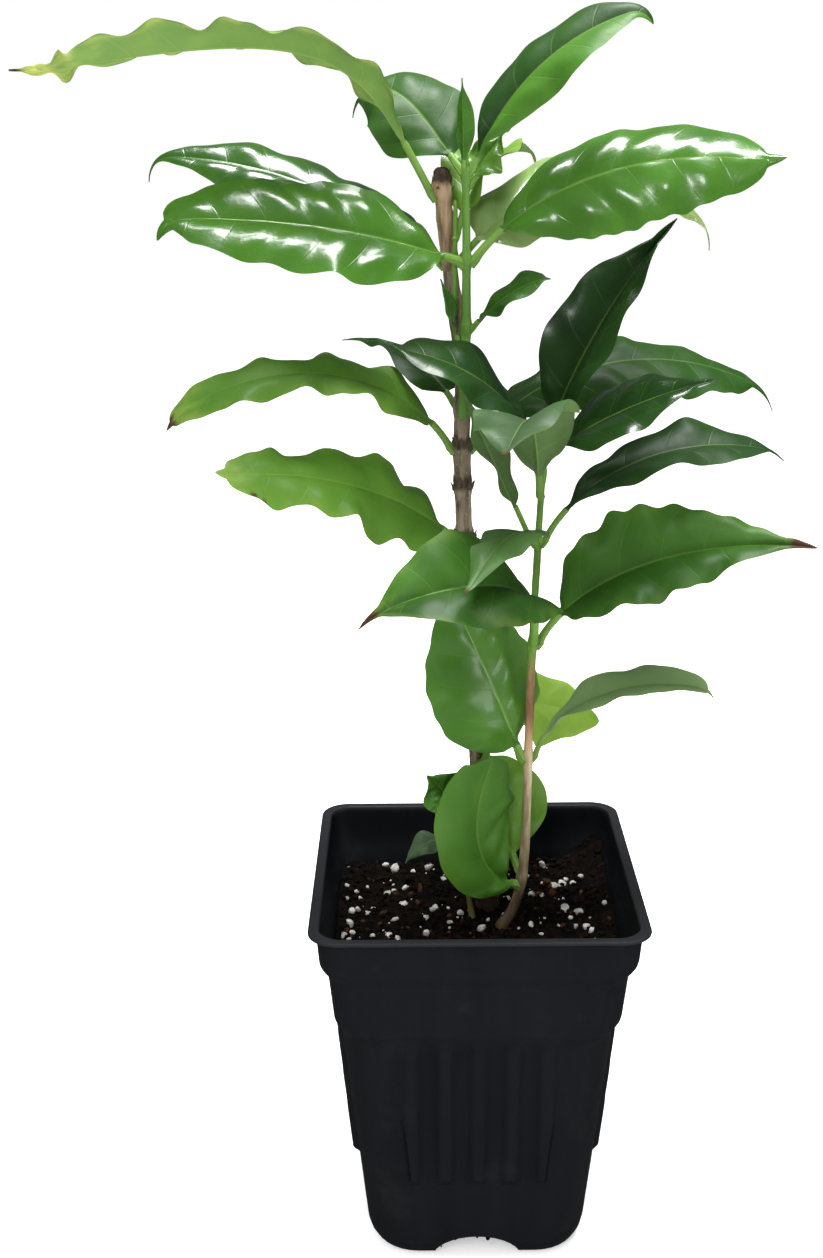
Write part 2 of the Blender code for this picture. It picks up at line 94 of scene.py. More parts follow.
# Width, corner radius and height of the rings of its foot, its rounded rim and its floor's edge.
FOOT_RINGS = ((61.5, 12.0, 0.0), (63.6, 12.8, 0.15))
RIM_RINGS = (
    (97.4, 8.0, 120.1),
    (99.6, 8.6, 120.35),
    (101.4, 9.0, 120.4),
    (101.9, 9.0, 120.6),
    (102.0, 9.0, 121.0),
    (101.7, 8.9, 121.35),
    (101.0, 8.7, 121.5),
    (97.0, 8.0, 121.5),
    (95.9, 7.6, 121.4),
    (95.4, 7.2, 121.0),
)
FLOOR_RING = (64.0, 12.0, FLOOR)
RIBS = 5
RIB_PITCH = 10.4
RIB_WIDTH = 6.0
RIB_RISE = 2.1
RIB_FOOT = 31.0
RIB_TOP = 84.0
DRAIN_WIDTH = 27.0
DRAIN_HEIGHT = 8.0
DRAIN_DEPTH = 9.0

# Potting mix.
SOIL_TOP = 102.0
SOIL_FOOT = 5.6
SOIL_FOOT_RINGS = ((57.0, 11.5, SOIL_FOOT), (64.0, 12.5, SOIL_FOOT + 1.6))
SOIL_LEVELS = (10.0, 40.0, 82.0, 86.0, 98.0)
SOIL_TOP_RINGS = 70
SOIL_RELIEF = 1.1
CRUMBS = 2300
PERLITE_GRAINS = 230
BARK_BITS = 150
DRAIN_CRUMBS = 130
# How high the mix is banked against the right and left walls and heaped in the far right corner.
RIGHT_BANK = 4.5
LEFT_BANK = 2.0
BANK_START = 33.0
BANK_REACH = 11.0
CORNER_HEAP = 11.0
CORNER_PLACE = (45.0, 45.0)
CORNER_REACH = (9.5, 7.0)

GAP = 0.3
GROUND = SOIL_TOP + GAP

# Heights of the old woody stem's dark scars, and the lump at its cut top.
SCARS = (228.5, 244.5, 257.0)
LUMP_HEIGHT = 333.2
LUMP_SPAN = 2.4
LUMP_RISE = 0.55
# Where its dry scales grow, most of them at the scars.
SCALE_NODES = (*SCARS, *SCARS, 333.0)
SCALES_EACH = 9

# The nodes with stipules, and the stipules' sizes.
STIPULE_NODES = {"green": (292, 311, 334), "young": (197, 229, 250), "slim": (311,)}
STIPULE_FACINGS = (-75.0, 105.0)
STIPULE_HEIGHT = 3.2
STIPULE_THICKNESS = 0.15

# How far a stem goes into what bears it, and the length of its rounded end.
STEM_ROOT = 0.8
STEM_END = 1.2
# A stem's relief from here on is that of old bark, with rings and a lump.
OLD_BARK = 0.2

Stem = namedtuple(
    "Stem",
    "name foot top base lean bow sweep sweep_height foot_radius tip_radius nodes swelling "
    "knee knee_height",
    defaults=(0.0, 0.0),
)
KNEE_REACH = 24.0
STEMS = (
    Stem("woody_stem", GROUND, 337, (4.7, 12.0), (-14.7, -1.0), (0.3, 0.0), (0.0, 0.0), 1,
         2.9, 2.2, (172, 227, 243, 255, 268, 330), 0.5, 2.4, 281),
    Stem("green_shoot", 266, 341, (-3.6, 6.5), (0.4, 0.0), (0.6, 0.0), (0.0, -0.9), 4,
         1.7, 0.9, (292, 311, 334), 0.5),
    Stem("slim_shoot", 297, 328, (-6.2, 7.6), (0.3, 0.4), (0.0, 0.0), (0.0, -0.4), 4,
         0.8, 0.6, (311,), 0.3),
    Stem("young_stem", GROUND, 265, (8.9, -3.0), (4.0, 0.0), (-1.2, 0.0), (7.3, 0.5), 9,
         1.6, 0.9, (119, 160, 197, 229, 250), 0.35),
    Stem("seedling_stem", GROUND, 136, (-0.6, 3.4), (-6.0, 10.0), (0.0, 0.0), (0.0, 0.0), 1,
         0.8, 0.6, (134,), 0.2),
)

# Leaves, by the rule that shapes the solids. A leaf's name starts with that of the stem that bears
# it. Shade goes from dark to pale green, tip is the dry part of the length, yellow is how far the
# leaf has paled, ripple is how wavy its margins are, grey is its dull bloom, and split is painted
# light and shade: how much paler its left half is painted than its middle, and its right half
# darker, where light falls differently on the two halves.
Leaf = namedtuple(
    "Leaf",
    "name height heading rise droop length width roll "
    "stalk bend crest sway fold wave waves phase drip skew blunt hook heel "
    "shade gloss tip yellow ripple grey split",
    defaults=(10, 1.0, 0, 0, 0, 1.2, 2.0, 0, 0.14, 0.95, 0.85, 0, 0.85,
              0.5, "matt", 0.0, 0.0, 1.0, 0.0, 0.0),
)
BLADE_THICKNESS = 0.4
TIP_HALF_WIDTH = 0.27
STALK_ROOT = 1.3
MIDDLE_VEIN_GROOVE = 0.16
BLADE_BULGE = 1.1
# A blade wider than this has the first number of columns on each half, and others the second.
WIDE_BLADE = 15
BLADE_COLUMNS = (15, 9)
# The side veins' distance from each other, the fewest on a side, and how they bend to the tip.
VEIN_DISTANCE = 13.0
FEWEST_VEINS = 5.0
VEIN_BEND = (0.42, 0.016)
# The lengths of a margin's long and short waves, and their height.
RIPPLE_LENGTHS = (19.0, 9.7)
RIPPLE_HEIGHT = 0.55
LEAVES = (
    Leaf("woody_leaf_top", 329, 194.5, 61, 70, 121, 30.5, 12, stalk=16, crest=0.33, sway=-18, fold=13,
         wave=1.4, waves=1.6, phase=30, drip=0.15, skew=1.1, blunt=0.45, hook=-12, shade=0.82,
         tip=0.035, yellow=0.9, ripple=2.6),
    Leaf("woody_leaf_4_left", 268, 136, 53, 61, 48, 23, -1, stalk=5, bend=0.7, fold=6, wave=1,
         waves=1.6, phase=200, drip=0.32, skew=0.45, blunt=1, shade=0.2),
    Leaf("woody_leaf_3_left", 255, 191.5, 62.5, 101, 87.5, 28.5, -17, bend=0.8, sway=-2, wave=1.4,
         waves=1.2, phase=295, drip=0.04, skew=0.55, blunt=0.35, hook=16, shade=0.7, tip=0.045,
         yellow=0.25, ripple=2.8),
    Leaf("woody_leaf_3_right", 255, 12, 55, 90, 101, 31, 27, bend=0.8, sway=2, fold=-13, wave=0.6,
         waves=2.6, phase=325, drip=0.17, skew=1, blunt=0.5, hook=35, shade=0.24, ripple=2.4),
    Leaf("woody_leaf_1_left", 227, 203, 47, 47, 77, 28, -44, stalk=6, bend=0.7, sway=6, fold=-7,
         wave=2.5, waves=1.9, phase=85, drip=0.06, skew=0.45, blunt=0.35, hook=-15, shade=0.72,
         yellow=0.2, ripple=2.6),
    Leaf("woody_leaf_0_right", 172, 23, -2, 27, 33, 30, 38, stalk=8, bend=1.05, sway=-14, fold=-4,
         wave=1.7, phase=305, drip=0.04, skew=0.5, blunt=0.65, hook=-6, shade=0.93),
    Leaf("woody_leaf_0_back", 180, 84, 35, 70, 62, 22, 0, stalk=8, gloss="satin"),
    Leaf("green_leaf_1_left", 288, 189.5, 69.5, -8.5, 17, 6, -59, stalk=2, sway=13, fold=21, wave=0.3,
         waves=1.9, phase=5, drip=0.19, skew=1.15, blunt=0.9, hook=16, shade=0.42, gloss="satin"),
    Leaf("green_leaf_1_right", 292, 326, 48, 33, 26, 13, 38, stalk=3, bend=1.15, sway=14, fold=2,
         wave=1.1, waves=1.9, phase=325, drip=0.09, skew=1.3, blunt=0.65, hook=24, shade=0.3,
         gloss="satin"),
    Leaf("green_leaf_2_left", 311, 196, 20, 22, 85, 34, -47, stalk=5, bend=0.9, sway=-4, wave=0.9,
         waves=2.6, phase=55, drip=0.09, skew=0.7, blunt=0.4, hook=64, ripple=1.2, gloss="glossy"),
    Leaf("green_leaf_2_right", 311, 353, 56, 67, 83, 35, 53, stalk=12, bend=0.7, sway=-3, fold=-18,
         wave=0.5, waves=1.3, phase=355, drip=0.09, skew=0.85, blunt=0.45, hook=-19, ripple=1.1,
         gloss="glossy"),
    Leaf("green_leaf_4_left", 336, 135, 45, 113.5, 50, 30, -36, stalk=6, crest=1.04, sway=3, fold=-12,
         wave=1.1, waves=2.5, phase=30, drip=0.18, skew=0.75, blunt=0.6, hook=16, shade=0.27,
         ripple=0.6),
    Leaf("green_leaf_4_right", 332, 36, 58, 21, 19, 15, 23, stalk=3, bend=1.05, sway=-2, fold=6,
         wave=1.7, waves=2.6, phase=350, drip=0.3, skew=0.45, blunt=1.05, hook=19, shade=0.7,
         gloss="satin"),
    Leaf("green_leaf_5_left", 337, 250, 88, 5, 22, 7, 0, stalk=2, fold=40, wave=0.6, shade=0.46,
         gloss="satin", grey=-0.3),
    Leaf("green_leaf_5_right", 336, 355, 68, 59, 66, 26, 38, stalk=4, bend=1.1, sway=2, wave=2.3,
         waves=1.2, phase=25, drip=0.06, skew=1.25, blunt=1.05, hook=69, shade=0.37, ripple=0.6,
         split=-0.17),
    Leaf("woody_leaf_5_left", 310, 164, 37, 40, 94, 29, -29, stalk=6, bend=1.05, sway=7, fold=-2,
         wave=2.6, waves=1.2, drip=0.11, skew=0.8, blunt=0.95, hook=82, shade=0.31, gloss="glossy"),
    Leaf("slim_leaf_2_back", 318, 64, 61, 77, 57, 25, -10, stalk=8, bend=0.85, sway=-5, fold=25,
         wave=2.4, waves=1.8, phase=240, drip=0.33, skew=0.8, blunt=1.1, hook=60, shade=0.8,
         gloss="satin"),
    Leaf("slim_leaf_2_right", 311, 20, 48, 100, 90, 27, 36, stalk=8, bend=1.1, fold=-5, wave=2.4,
         waves=2.7, phase=65, drip=0.19, skew=0.55, blunt=0.65, hook=38, shade=0.93, gloss="glossy",
         grey=0.35),
    Leaf("young_leaf_5_upright", 263, 20, 67, 21, 67, 27, 37, stalk=4, bend=1.05, sway=-5, fold=36,
         wave=1.4, waves=3.1, phase=140, drip=0.18, skew=0.8, blunt=0.8, shade=0.12, gloss="satin",
         ripple=0.4),
    Leaf("young_leaf_5_right", 256, 343, 38, 23, 49, 28, 28, stalk=5, bend=0.95, sway=-2, fold=2,
         wave=0.3, waves=2.6, drip=0.15, skew=0.85, blunt=0.95, shade=0.13, gloss="glossy"),
    Leaf("young_leaf_4_left", 251, 193, 94, 86, 50, 27, -27, stalk=12, bend=0.6, fold=2, wave=1.5,
         waves=2.1, phase=305, drip=0.09, skew=1.1, blunt=0.6, hook=-20, shade=0.13, gloss="satin",
         ripple=0.5),
    Leaf("young_leaf_4_front", 244, 254, 70, 89, 57, 30, 10, stalk=7, crest=0.45, fold=11, wave=2.1,
         waves=3.5, phase=65, drip=0.1, skew=1.05, blunt=0.8, hook=-17, shade=0.42, tip=0.05,
         grey=0.11),
    Leaf("young_leaf_3_left", 229, 172, 66, 2, 38, 18, 29, stalk=12, bend=0.85, sway=8, fold=6, wave=1,
         waves=2.1, phase=85, drip=0.13, skew=0.9, blunt=0.75, hook=-11, shade=0.35),
    Leaf("young_leaf_3_right", 229, 7, 68, 86, 73, 24, 19, stalk=12, bend=0.7, sway=3, fold=5, wave=1.5,
         waves=2.1, phase=345, drip=0.12, skew=1.2, blunt=0.65, hook=25, shade=0.15, ripple=1.2),
    Leaf("young_leaf_3_front", 229, 253, 37, 79, 54, 19, 5, stalk=6, sway=-15, fold=-6, waves=3,
         phase=10, drip=0.11, skew=0.8, blunt=0.9, hook=-30, shade=0.42, tip=0.03, grey=0.12),
    Leaf("young_leaf_2_right", 197, 357, 77, 79, 80, 33, 46, stalk=12, bend=0.45, sway=-15, fold=21,
         wave=2.6, waves=1.3, phase=275, drip=0.15, skew=0.7, blunt=0.8, hook=3, shade=0.38, tip=0.09,
         yellow=0.1, ripple=2.8, split=0.06),
    Leaf("young_leaf_2_front", 197, 275, 65, 103, 76, 35, -35, stalk=12, sway=-109, fold=14, wave=2.7,
         waves=1.2, phase=45, skew=1, hook=9, shade=0.35, tip=0.09, yellow=0.2, ripple=1.2,
         split=-0.07),
    Leaf("young_leaf_1_right", 160, 354, 84, 97, 58, 18, 12, stalk=8, bend=0.6, sway=-2, fold=13,
         wave=0.5, waves=1.9, phase=220, drip=0.07, skew=1.05, blunt=0.4, hook=38, shade=0.78,
         ripple=1.3, grey=0.42),
    Leaf("young_leaf_1_left", 160, 188, 71, 6, 60, 41.5, -62, stalk=5, bend=0.6, sway=-10, fold=-13,
         wave=2, waves=1.2, phase=15, skew=0.65, blunt=0.75, hook=-40, heel=0.9, shade=0.6,
         gloss="satin", ripple=1.2, split=-0.04),
    Leaf("young_leaf_0_left", 117, 211.5, 22.5, -112.5, 51.5, 38.5, -82, stalk=2, bend=0.9, sway=16,
         wave=2, waves=1.2, phase=315, drip=0.03, skew=1.45, blunt=0.35, hook=31, heel=0.55, shade=0.6),
    Leaf("young_leaf_0_back", 121, 128, 56, -35.5, 36, 39, -37, stalk=5, bend=1.4, sway=40, fold=-6,
         wave=2, waves=1.4, phase=335, drip=0.12, skew=0.8, blunt=0.45, hook=-23, heel=1, shade=0.78),
    Leaf("seedling_leaf_left", 134, 192, 95, 62, 12.5, 18, -78, stalk=4, bend=0.8, sway=-13, fold=9,
         wave=1, waves=2.3, phase=125, drip=0.17, skew=0.65, blunt=0.8, hook=-17, heel=0.4, shade=0.48),
    Leaf("seedling_leaf_front", 126, 201, 26, 86, 18, 9, -20, stalk=2, wave=0.8, shade=0.15, grey=0.17),
)

# How much deeper the green of a leaf's upper side is than that of its underside.
DEEPER = {"woody_leaf_top": 0.3, "young_leaf_4_front": 0.22}

# How far a leaf's dry tail twists, and how long each curl of it is.
TWISTS = {"woody_leaf_top": 80.0}
CURL_LENGTH = 8.0

# Brown spots on a blade: how far along and across it they lie, and their size in millimetres.
SPOTS = {
    "woody_leaf_1_left": ((0.86, 0.93, 1.3), (0.82, 0.97, 0.8)),
    "young_leaf_3_front": ((0.97, -0.6, 1.2),),
}

# Greens of a leaf, from an old dark one to a young pale one, by the leaf's shade from 0 to 1.
GREENS = (
    (0.00, (0.0060, 0.0240, 0.0050)),
    (0.20, (0.0140, 0.0520, 0.0070)),
    (0.40, (0.0310, 0.1020, 0.0095)),
    (0.60, (0.0570, 0.1720, 0.0150)),
    (0.80, (0.1100, 0.2420, 0.0270)),
    (1.00, (0.2300, 0.3700, 0.0460)),
)
UNDER_GREY = (0.190, 0.260, 0.120)
BLOOM = (0.260, 0.330, 0.220)

# How glossy a leaf's upper side is: its roughness, specular level and coat.
Gloss = namedtuple("Gloss", "roughness specular coat")
GLOSSES = {
    "glossy": Gloss(0.20, 0.50, 0.25),
    "satin": Gloss(0.30, 0.36, 0.08),
    "matt": Gloss(0.42, 0.22, 0.00),
}
# How far the blade bulges between its side veins, in millimetres, by how glossy it is.
QUILTING = {"glossy": 0.85, "satin": 0.65, "matt": 0.60}
RIB_GREEN = (0.240, 0.400, 0.070)
DRY_BROWN = (0.060, 0.028, 0.014)
PALED = (0.480, 0.520, 0.130)

# Half the width of a blade's middle vein at its foot, as a share of the blade's width, and how
# much of it is lost by the tip.
VEIN_SHARE = 0.026
VEIN_TAPER = 0.018

# The heights between which a skin changes: the ends of the soiled feet, the start of the woody
# stem's younger part and its dark cut, the starts of the young stem's reddish and green parts,
# and the start of the painted highlight along the pot's rim. A scar fades over a distance from its
# middle.
GREEN_SOILED = (104.0, 126.0)
WOOD_SOILED = (104.0, 122.0)
WOOD_YOUNGER = (290.0, 325.0)
WOOD_CUT = (331.8, 333.6)
SCAR_FADE = (0.8, 2.4)
YOUNG_SOILED = (109.0, 128.0)
YOUNG_REDDISH = (158.0, 172.0)
YOUNG_GREEN = (184.0, 197.0)
RIM_HIGHLIGHT = (120.0, 120.8)
# How much the heights of these changes waver in all, around the woody and the young stem.
WOOD_WAVER = 4.0
YOUNG_WAVER = 12.0


def smoothstep(value):
    """Eases from 0 to 1."""
    clipped = np.clip(value, 0.0, 1.0)
    return clipped * clipped * (3.0 - 2.0 * clipped)


def wobble(points, scale, seed, octaves=3):
    """Smooth noise of about -1 to 1 at points, with features of about that scale."""
    rng = np.random.default_rng(seed)
    total = np.zeros(points.shape[:-1])
    weight = 1.0
    for _ in range(octaves):
        for _ in range(4):
            direction = rng.normal(size=points.shape[-1])
            direction /= np.linalg.norm(direction)
            phase = rng.uniform(0.0, 2 * pi)
            total += weight * np.sin((points @ direction) * (2 * pi / scale) + phase) / 4
        weight *= 0.5
        scale *= 0.47
    return total


def add_object(name, data):
    """An object of the scene with its mesh, lamp or camera."""
    made = bpy.data.objects.new(name, data)
    bpy.context.collection.objects.link(made)
    return made


def make_piece(name, points, faces, finishes, smooth_angle, places=None):
    """A mesh piece from points in millimetres. Places is the material number of each face."""
    mesh = bpy.data.meshes.new(name)
    mesh.from_pydata((np.asarray(points) * MM).tolist(), [], faces)
    for finish in finishes:
        mesh.materials.append(finish)
    if places is not None:
        mesh.polygons.foreach_set("material_index", np.asarray(places, dtype=np.int32))
    mesh.shade_smooth()
    mesh.set_sharp_from_angle(angle=radians(smooth_angle))
    piece = add_object(name, mesh)
    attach(piece, "root")
    return piece


def ringed_piece(name, rings, finishes, smooth_angle, places=None):
    """A closed piece from rings with equally many points."""
    faces = ring_faces(len(rings), len(rings[0]))
    return make_piece(name, np.concatenate(rings), faces, finishes, smooth_angle, places)


def ring_faces(rings, count):
    """Faces between rings of count points each, with flat ends on the first and the last ring."""
    ring, place = np.meshgrid(np.arange(rings - 1), np.arange(count), indexing="ij")
    following = (place + 1) % count
    corners = (ring * count + place, ring * count + following, (ring + 1) * count + following,
               (ring + 1) * count + place)
    first = list(range(count - 1, -1, -1))
    last = list(range((rings - 1) * count, rings * count))
    return np.stack(corners, axis=-1).reshape(-1, 4).tolist() + [first, last]


def add_faces(faces, first, added):
    """Adds faces whose points are counted from the first of them."""
    faces += [[first + corner for corner in face] for face in added]


def store_map(mesh, name, values):
    """A UV map whose values are given for each point."""
    corners = np.empty(len(mesh.loops), dtype=np.int32)
    mesh.loops.foreach_get("vertex_index", corners)
    layer = mesh.uv_layers.new(name=name)
    layer.uv.foreach_set("vector", values[corners].astype(np.float32).ravel())


class Level:
    """A socket of a finish, with the arithmetic that its nodes do."""

    def __init__(self, finish, socket):
        self.finish = finish
        self.socket = socket

    def maths(self, operation, *values):
        sockets = dict(enumerate(values))
        return self.finish.node("ShaderNodeMath", {"operation": operation}, sockets)

    def __add__(self, other):
        return self.maths("ADD", self, other)

    def __sub__(self, other):
        return self.maths("SUBTRACT", self, other)

    def __mul__(self, other):
        return self.maths("MULTIPLY", self, other)

    def __truediv__(self, other):
        return self.maths("DIVIDE", self, other)

    def __rsub__(self, other):
        return self.maths("SUBTRACT", other, self)

    def __abs__(self):
        return self.maths("ABSOLUTE", self)

    __radd__ = __add__
    __rmul__ = __mul__

    def fraction(self):
        return self.maths("FRACT", self)

    def capped(self, most):
        return self.maths("MINIMUM", self, most)

    def eased(self, low, high):
        """0 below low and 1 above high, with a soft change between them."""
        settings = {"interpolation_type": "SMOOTHSTEP"}
        sockets = {"Value": self, "From Min": low, "From Max": high}
        return self.finish.node("ShaderNodeMapRange", settings, sockets)

    def past(self, lengths):
        """0 below the first of two lengths in millimetres and 1 above the second."""
        low, high = lengths
        return self.eased(low * MM, high * MM)


class Finish:
    """A material, and the one way its nodes are made."""

    def __init__(self, name, **constants):
        self.material = bpy.data.materials.new(name)
        self.material.use_nodes = True
        self.tree = self.material.node_tree
        self.shader = self.tree.nodes["Principled BSDF"]
        for socket, value in constants.items():
            self.shader.inputs[socket.replace("_", " ")].default_value = value

    def node(self, kind, settings=None, sockets=None, output=0):
        """A node of a type, with its settings first, and then the values or links of its sockets."""
        made = self.tree.nodes.new(kind)
        for key, value in (settings or {}).items():
            if key == "stops":
                self.set_stops(made, value)
            else:
                setattr(made, key, value)
        for key, value in (sockets or {}).items():
            self.join(made.inputs[key], value)
        return Level(self, made.outputs[output])

    def set_stops(self, ramp, stops):
        """The places and colours of a colour ramp."""
        elements = ramp.color_ramp.elements
        while len(elements) < len(stops):
            elements.new(1.0)
        for element, (place, colour) in zip(elements, stops):
            element.position = place
            element.color = (*colour, 1.0)

    def join(self, socket, value):
        if isinstance(value, Level):
            self.tree.links.new(value.socket, socket)
        elif isinstance(value, tuple) and len(value) == 3 and socket.type == "RGBA":
            socket.default_value = (*value, 1.0)
        else:
            socket.default_value = value

    def place(self):
        """Where a point of the surface is on the object, in metres."""
        return self.node("ShaderNodeTexCoord", output="Object")

    def height(self):
        """How high a point of the surface is, in metres."""
        return self.parts(self.place())[2]

    def noise(self, scale, detail=3.0, roughness=0.5, where=None):
        sockets = {"Vector": where or self.place(), "Scale": scale, "Detail": detail}
        sockets["Roughness"] = roughness
        return self.node("ShaderNodeTexNoise", {}, sockets)

    def mix(self, factor, first, second):
        """One colour over another, by a factor."""
        sockets = {0: factor, 6: first, 7: second}
        return self.node("ShaderNodeMix", {"data_type": "RGBA"}, sockets, output=2)

    def stretched(self, factors):
        """The surface's place, stretched by a factor along each axis."""
        settings = {"operation": "MULTIPLY"}
        return self.node("ShaderNodeVectorMath", settings, {0: self.place(), 1: factors})

    def parts(self, vector):
        """The three numbers of a vector."""
        split = self.node("ShaderNodeSeparateXYZ", {}, {0: vector})
        outputs = split.socket.node.outputs
        return [Level(self, outputs[index]) for index in range(3)]

    def colour(self, value):
        self.join(self.shader.inputs["Base Color"], value)

    def roughness(self, value):
        self.join(self.shader.inputs["Roughness"], value)

    def bump(self, height, strength, distance):
        sockets = {"Strength": strength, "Distance": distance, "Height": height}
        self.join(self.shader.inputs["Normal"], self.node("ShaderNodeBump", {}, sockets))


def blade_marks(finish):
    """The middle vein, the side veins, dryness and paling of a blade, each from 0 to 1."""
    across, along, _ = finish.parts(finish.node("ShaderNodeUVMap", {"uv_map": "blade"}))
    phase, reach, _ = finish.parts(finish.node("ShaderNodeUVMap", {"uv_map": "veins"}))
    dry, paled, _ = finish.parts(finish.node("ShaderNodeUVMap", {"uv_map": "wear"}))
    middle = 1.0 - (abs(across - 0.5) / (VEIN_SHARE - along * VEIN_TAPER)).eased(0.3, 1.0)
    edge = abs(phase.fraction() - 0.5)
    side = edge.eased(0.468, 0.5) * (1.0 - reach.eased(0.7, 1.0))
    return middle, side, dry, paled


def leaf_green(finish, clouds):
    """The green of a leaf's shade, cloudy, and its bloom, from the map of the leaf's tone."""
    shade, grey, _ = finish.parts(finish.node("ShaderNodeUVMap", {"uv_map": "tone"}))
    cloud = finish.noise(clouds, 4.0)
    green = finish.node("ShaderNodeValToRGB", {"stops": GREENS}, {0: shade + (cloud - 0.5) * 0.22})
    return green, grey


def upper_skin(kind, gloss):
    """The upper side of a leaf, with quiet veins."""
    coat = {"Coat_Weight": gloss.coat, "Coat_Roughness": 0.12}
    finish = Finish(f"leaf upper side {kind}", Specular_IOR_Level=gloss.specular, **coat)
    middle, side, dry, paled = blade_marks(finish)
    green, grey = leaf_green(finish, 70.0)
    green = finish.mix(grey, green, BLOOM)
    green = finish.mix(side * 0.06 + middle * 0.26, green, RIB_GREEN)
    green = finish.mix(paled, green, PALED)
    finish.colour(finish.mix(dry, green, DRY_BROWN))
    fine = finish.noise(900.0, 2.0)
    uneven = finish.noise(260.0, 3.0)
    dented = finish.noise(75.0, 2.0)
    finish.roughness((fine * 0.08 + uneven * 0.08 + gloss.roughness - 0.04 + dry * 0.3).capped(0.9))
    finish.bump(fine * 0.3 + uneven * 1.0 + dented * 3.6 - side * 0.6, 0.25, 0.0004)
    return finish.material


def under_skin(kind, gloss):
    """The greyer, less glossy underside of a leaf."""
    finish = Finish(f"leaf underside {kind}", Specular_IOR_Level=gloss.specular * 0.5)
    middle, side, dry, paled = blade_marks(finish)
    green, grey = leaf_green(finish, 110.0)
    green = finish.mix(grey + 0.3, green, UNDER_GREY)
    green = finish.mix(side * 0.2 + middle * 0.4, green, RIB_GREEN)
    green = finish.mix(paled, green, PALED)
    finish.colour(finish.mix(dry, green, DRY_BROWN))
    fine = finish.noise(1200.0, 2.0)
    finish.roughness(0.46 + fine * 0.2)
    finish.bump(fine * 0.4 + side, 0.3, 0.0002)
    return finish.material


def stalk_skin():
    """The light green stalk of a leaf."""
    finish = Finish("leaf stalk", Specular_IOR_Level=0.4)
    cloud = finish.noise(160.0, 3.0)
    finish.colour(finish.mix(cloud, (0.085, 0.210, 0.022), (0.190, 0.340, 0.060)))
    fine = finish.noise(1500.0, 2.0)
    finish.roughness(0.36 + fine * 0.15)
    finish.bump(fine, 0.2, 0.0001)
    return finish.material


def green_bark():
    """The smooth skin of a green shoot."""
    finish = Finish("green shoot skin", Specular_IOR_Level=0.4)
    streak = finish.noise(220.0, 3.0, where=finish.stretched((1.0, 1.0, 0.12)))
    green = finish.mix(streak, (0.055, 0.170, 0.018), (0.160, 0.310, 0.050))
    soiled = 1.0 - finish.height().past(GREEN_SOILED)
    finish.colour(finish.mix(soiled * 0.85, green, (0.150, 0.115, 0.045)))
    finish.roughness(0.36 + streak * 0.12)
    finish.bump(streak, 0.3, 0.0002)
    return finish.material


def woody_bark():
    """Grey-brown bark with long fissures and pale corky specks."""
    finish = Finish("woody bark", Specular_IOR_Level=0.25)
    streak = finish.noise(500.0, 5.0, 0.6, where=finish.stretched((1.0, 1.0, 0.14)))
    speck = finish.noise(900.0, 2.0).eased(0.62, 0.7)
    height = finish.height()
    young = height.past(WOOD_YOUNGER)
    old = finish.mix(streak.eased(0.3, 0.7), (0.060, 0.046, 0.030), (0.270, 0.215, 0.145))
    fresh = finish.mix(streak.eased(0.3, 0.7), (0.150, 0.092, 0.048), (0.420, 0.300, 0.175))
    tan = finish.mix(young, old, fresh)
    bark = finish.mix(speck * 0.5, tan, (0.420, 0.370, 0.270))
    wavy = height + (streak - 0.5) * (WOOD_WAVER * MM)
    for scar in SCARS:
        dark = 1.0 - abs(wavy - scar * MM).past(SCAR_FADE)
        bark = finish.mix(dark * 0.75, bark, (0.034, 0.026, 0.018))
    cut = wavy.past(WOOD_CUT)
    soiled = 1.0 - height.past(WOOD_SOILED)
    bark = finish.mix(soiled * 0.85, bark, (0.028, 0.017, 0.010))
    finish.colour(finish.mix(cut * 0.9, bark, (0.022, 0.015, 0.010)))
    finish.roughness(0.62 + streak * 0.25)
    finish.bump(streak + speck * 0.5, 0.7, 0.0005)
    return finish.material


def tan_bark():
    """A young stem: tan and corky at its foot, green from its middle up."""
    finish = Finish("young stem bark", Specular_IOR_Level=0.3)
    streak = finish.noise(420.0, 4.0, 0.55, where=finish.stretched((1.0, 1.0, 0.16)))
    height = finish.height()
    tan = finish.mix(streak.eased(0.3, 0.7), (0.250, 0.185, 0.095), (0.560, 0.480, 0.300))
    green = finish.mix(streak, (0.070, 0.190, 0.020), (0.180, 0.330, 0.055))
    reddish = finish.mix(streak.eased(0.3, 0.7), (0.200, 0.095, 0.045), (0.430, 0.250, 0.120))
    wavy = height + (streak - 0.5) * (YOUNG_WAVER * MM)
    skin = finish.mix(wavy.past(YOUNG_REDDISH), tan, reddish)
    skin = finish.mix(wavy.past(YOUNG_GREEN), skin, green)
    soiled = 1.0 - wavy.past(YOUNG_SOILED)
    finish.colour(finish.mix(soiled * 0.9, skin, (0.050, 0.024, 0.013)))
    finish.roughness(0.5 + streak * 0.2)
    finish.bump(streak, 0.4, 0.0003)
    return finish.material


def scale_skin():
    """Dry brown scales left at the old leaf nodes."""
    finish = Finish("bud scale", Specular_IOR_Level=0.25)
    cloud = finish.noise(700.0, 3.0)
    finish.colour(finish.mix(cloud, (0.026, 0.018, 0.012), (0.120, 0.084, 0.052)))
    finish.roughness(0.6 + cloud * 0.25)
    finish.bump(cloud, 0.5, 0.0003)
    return finish.material


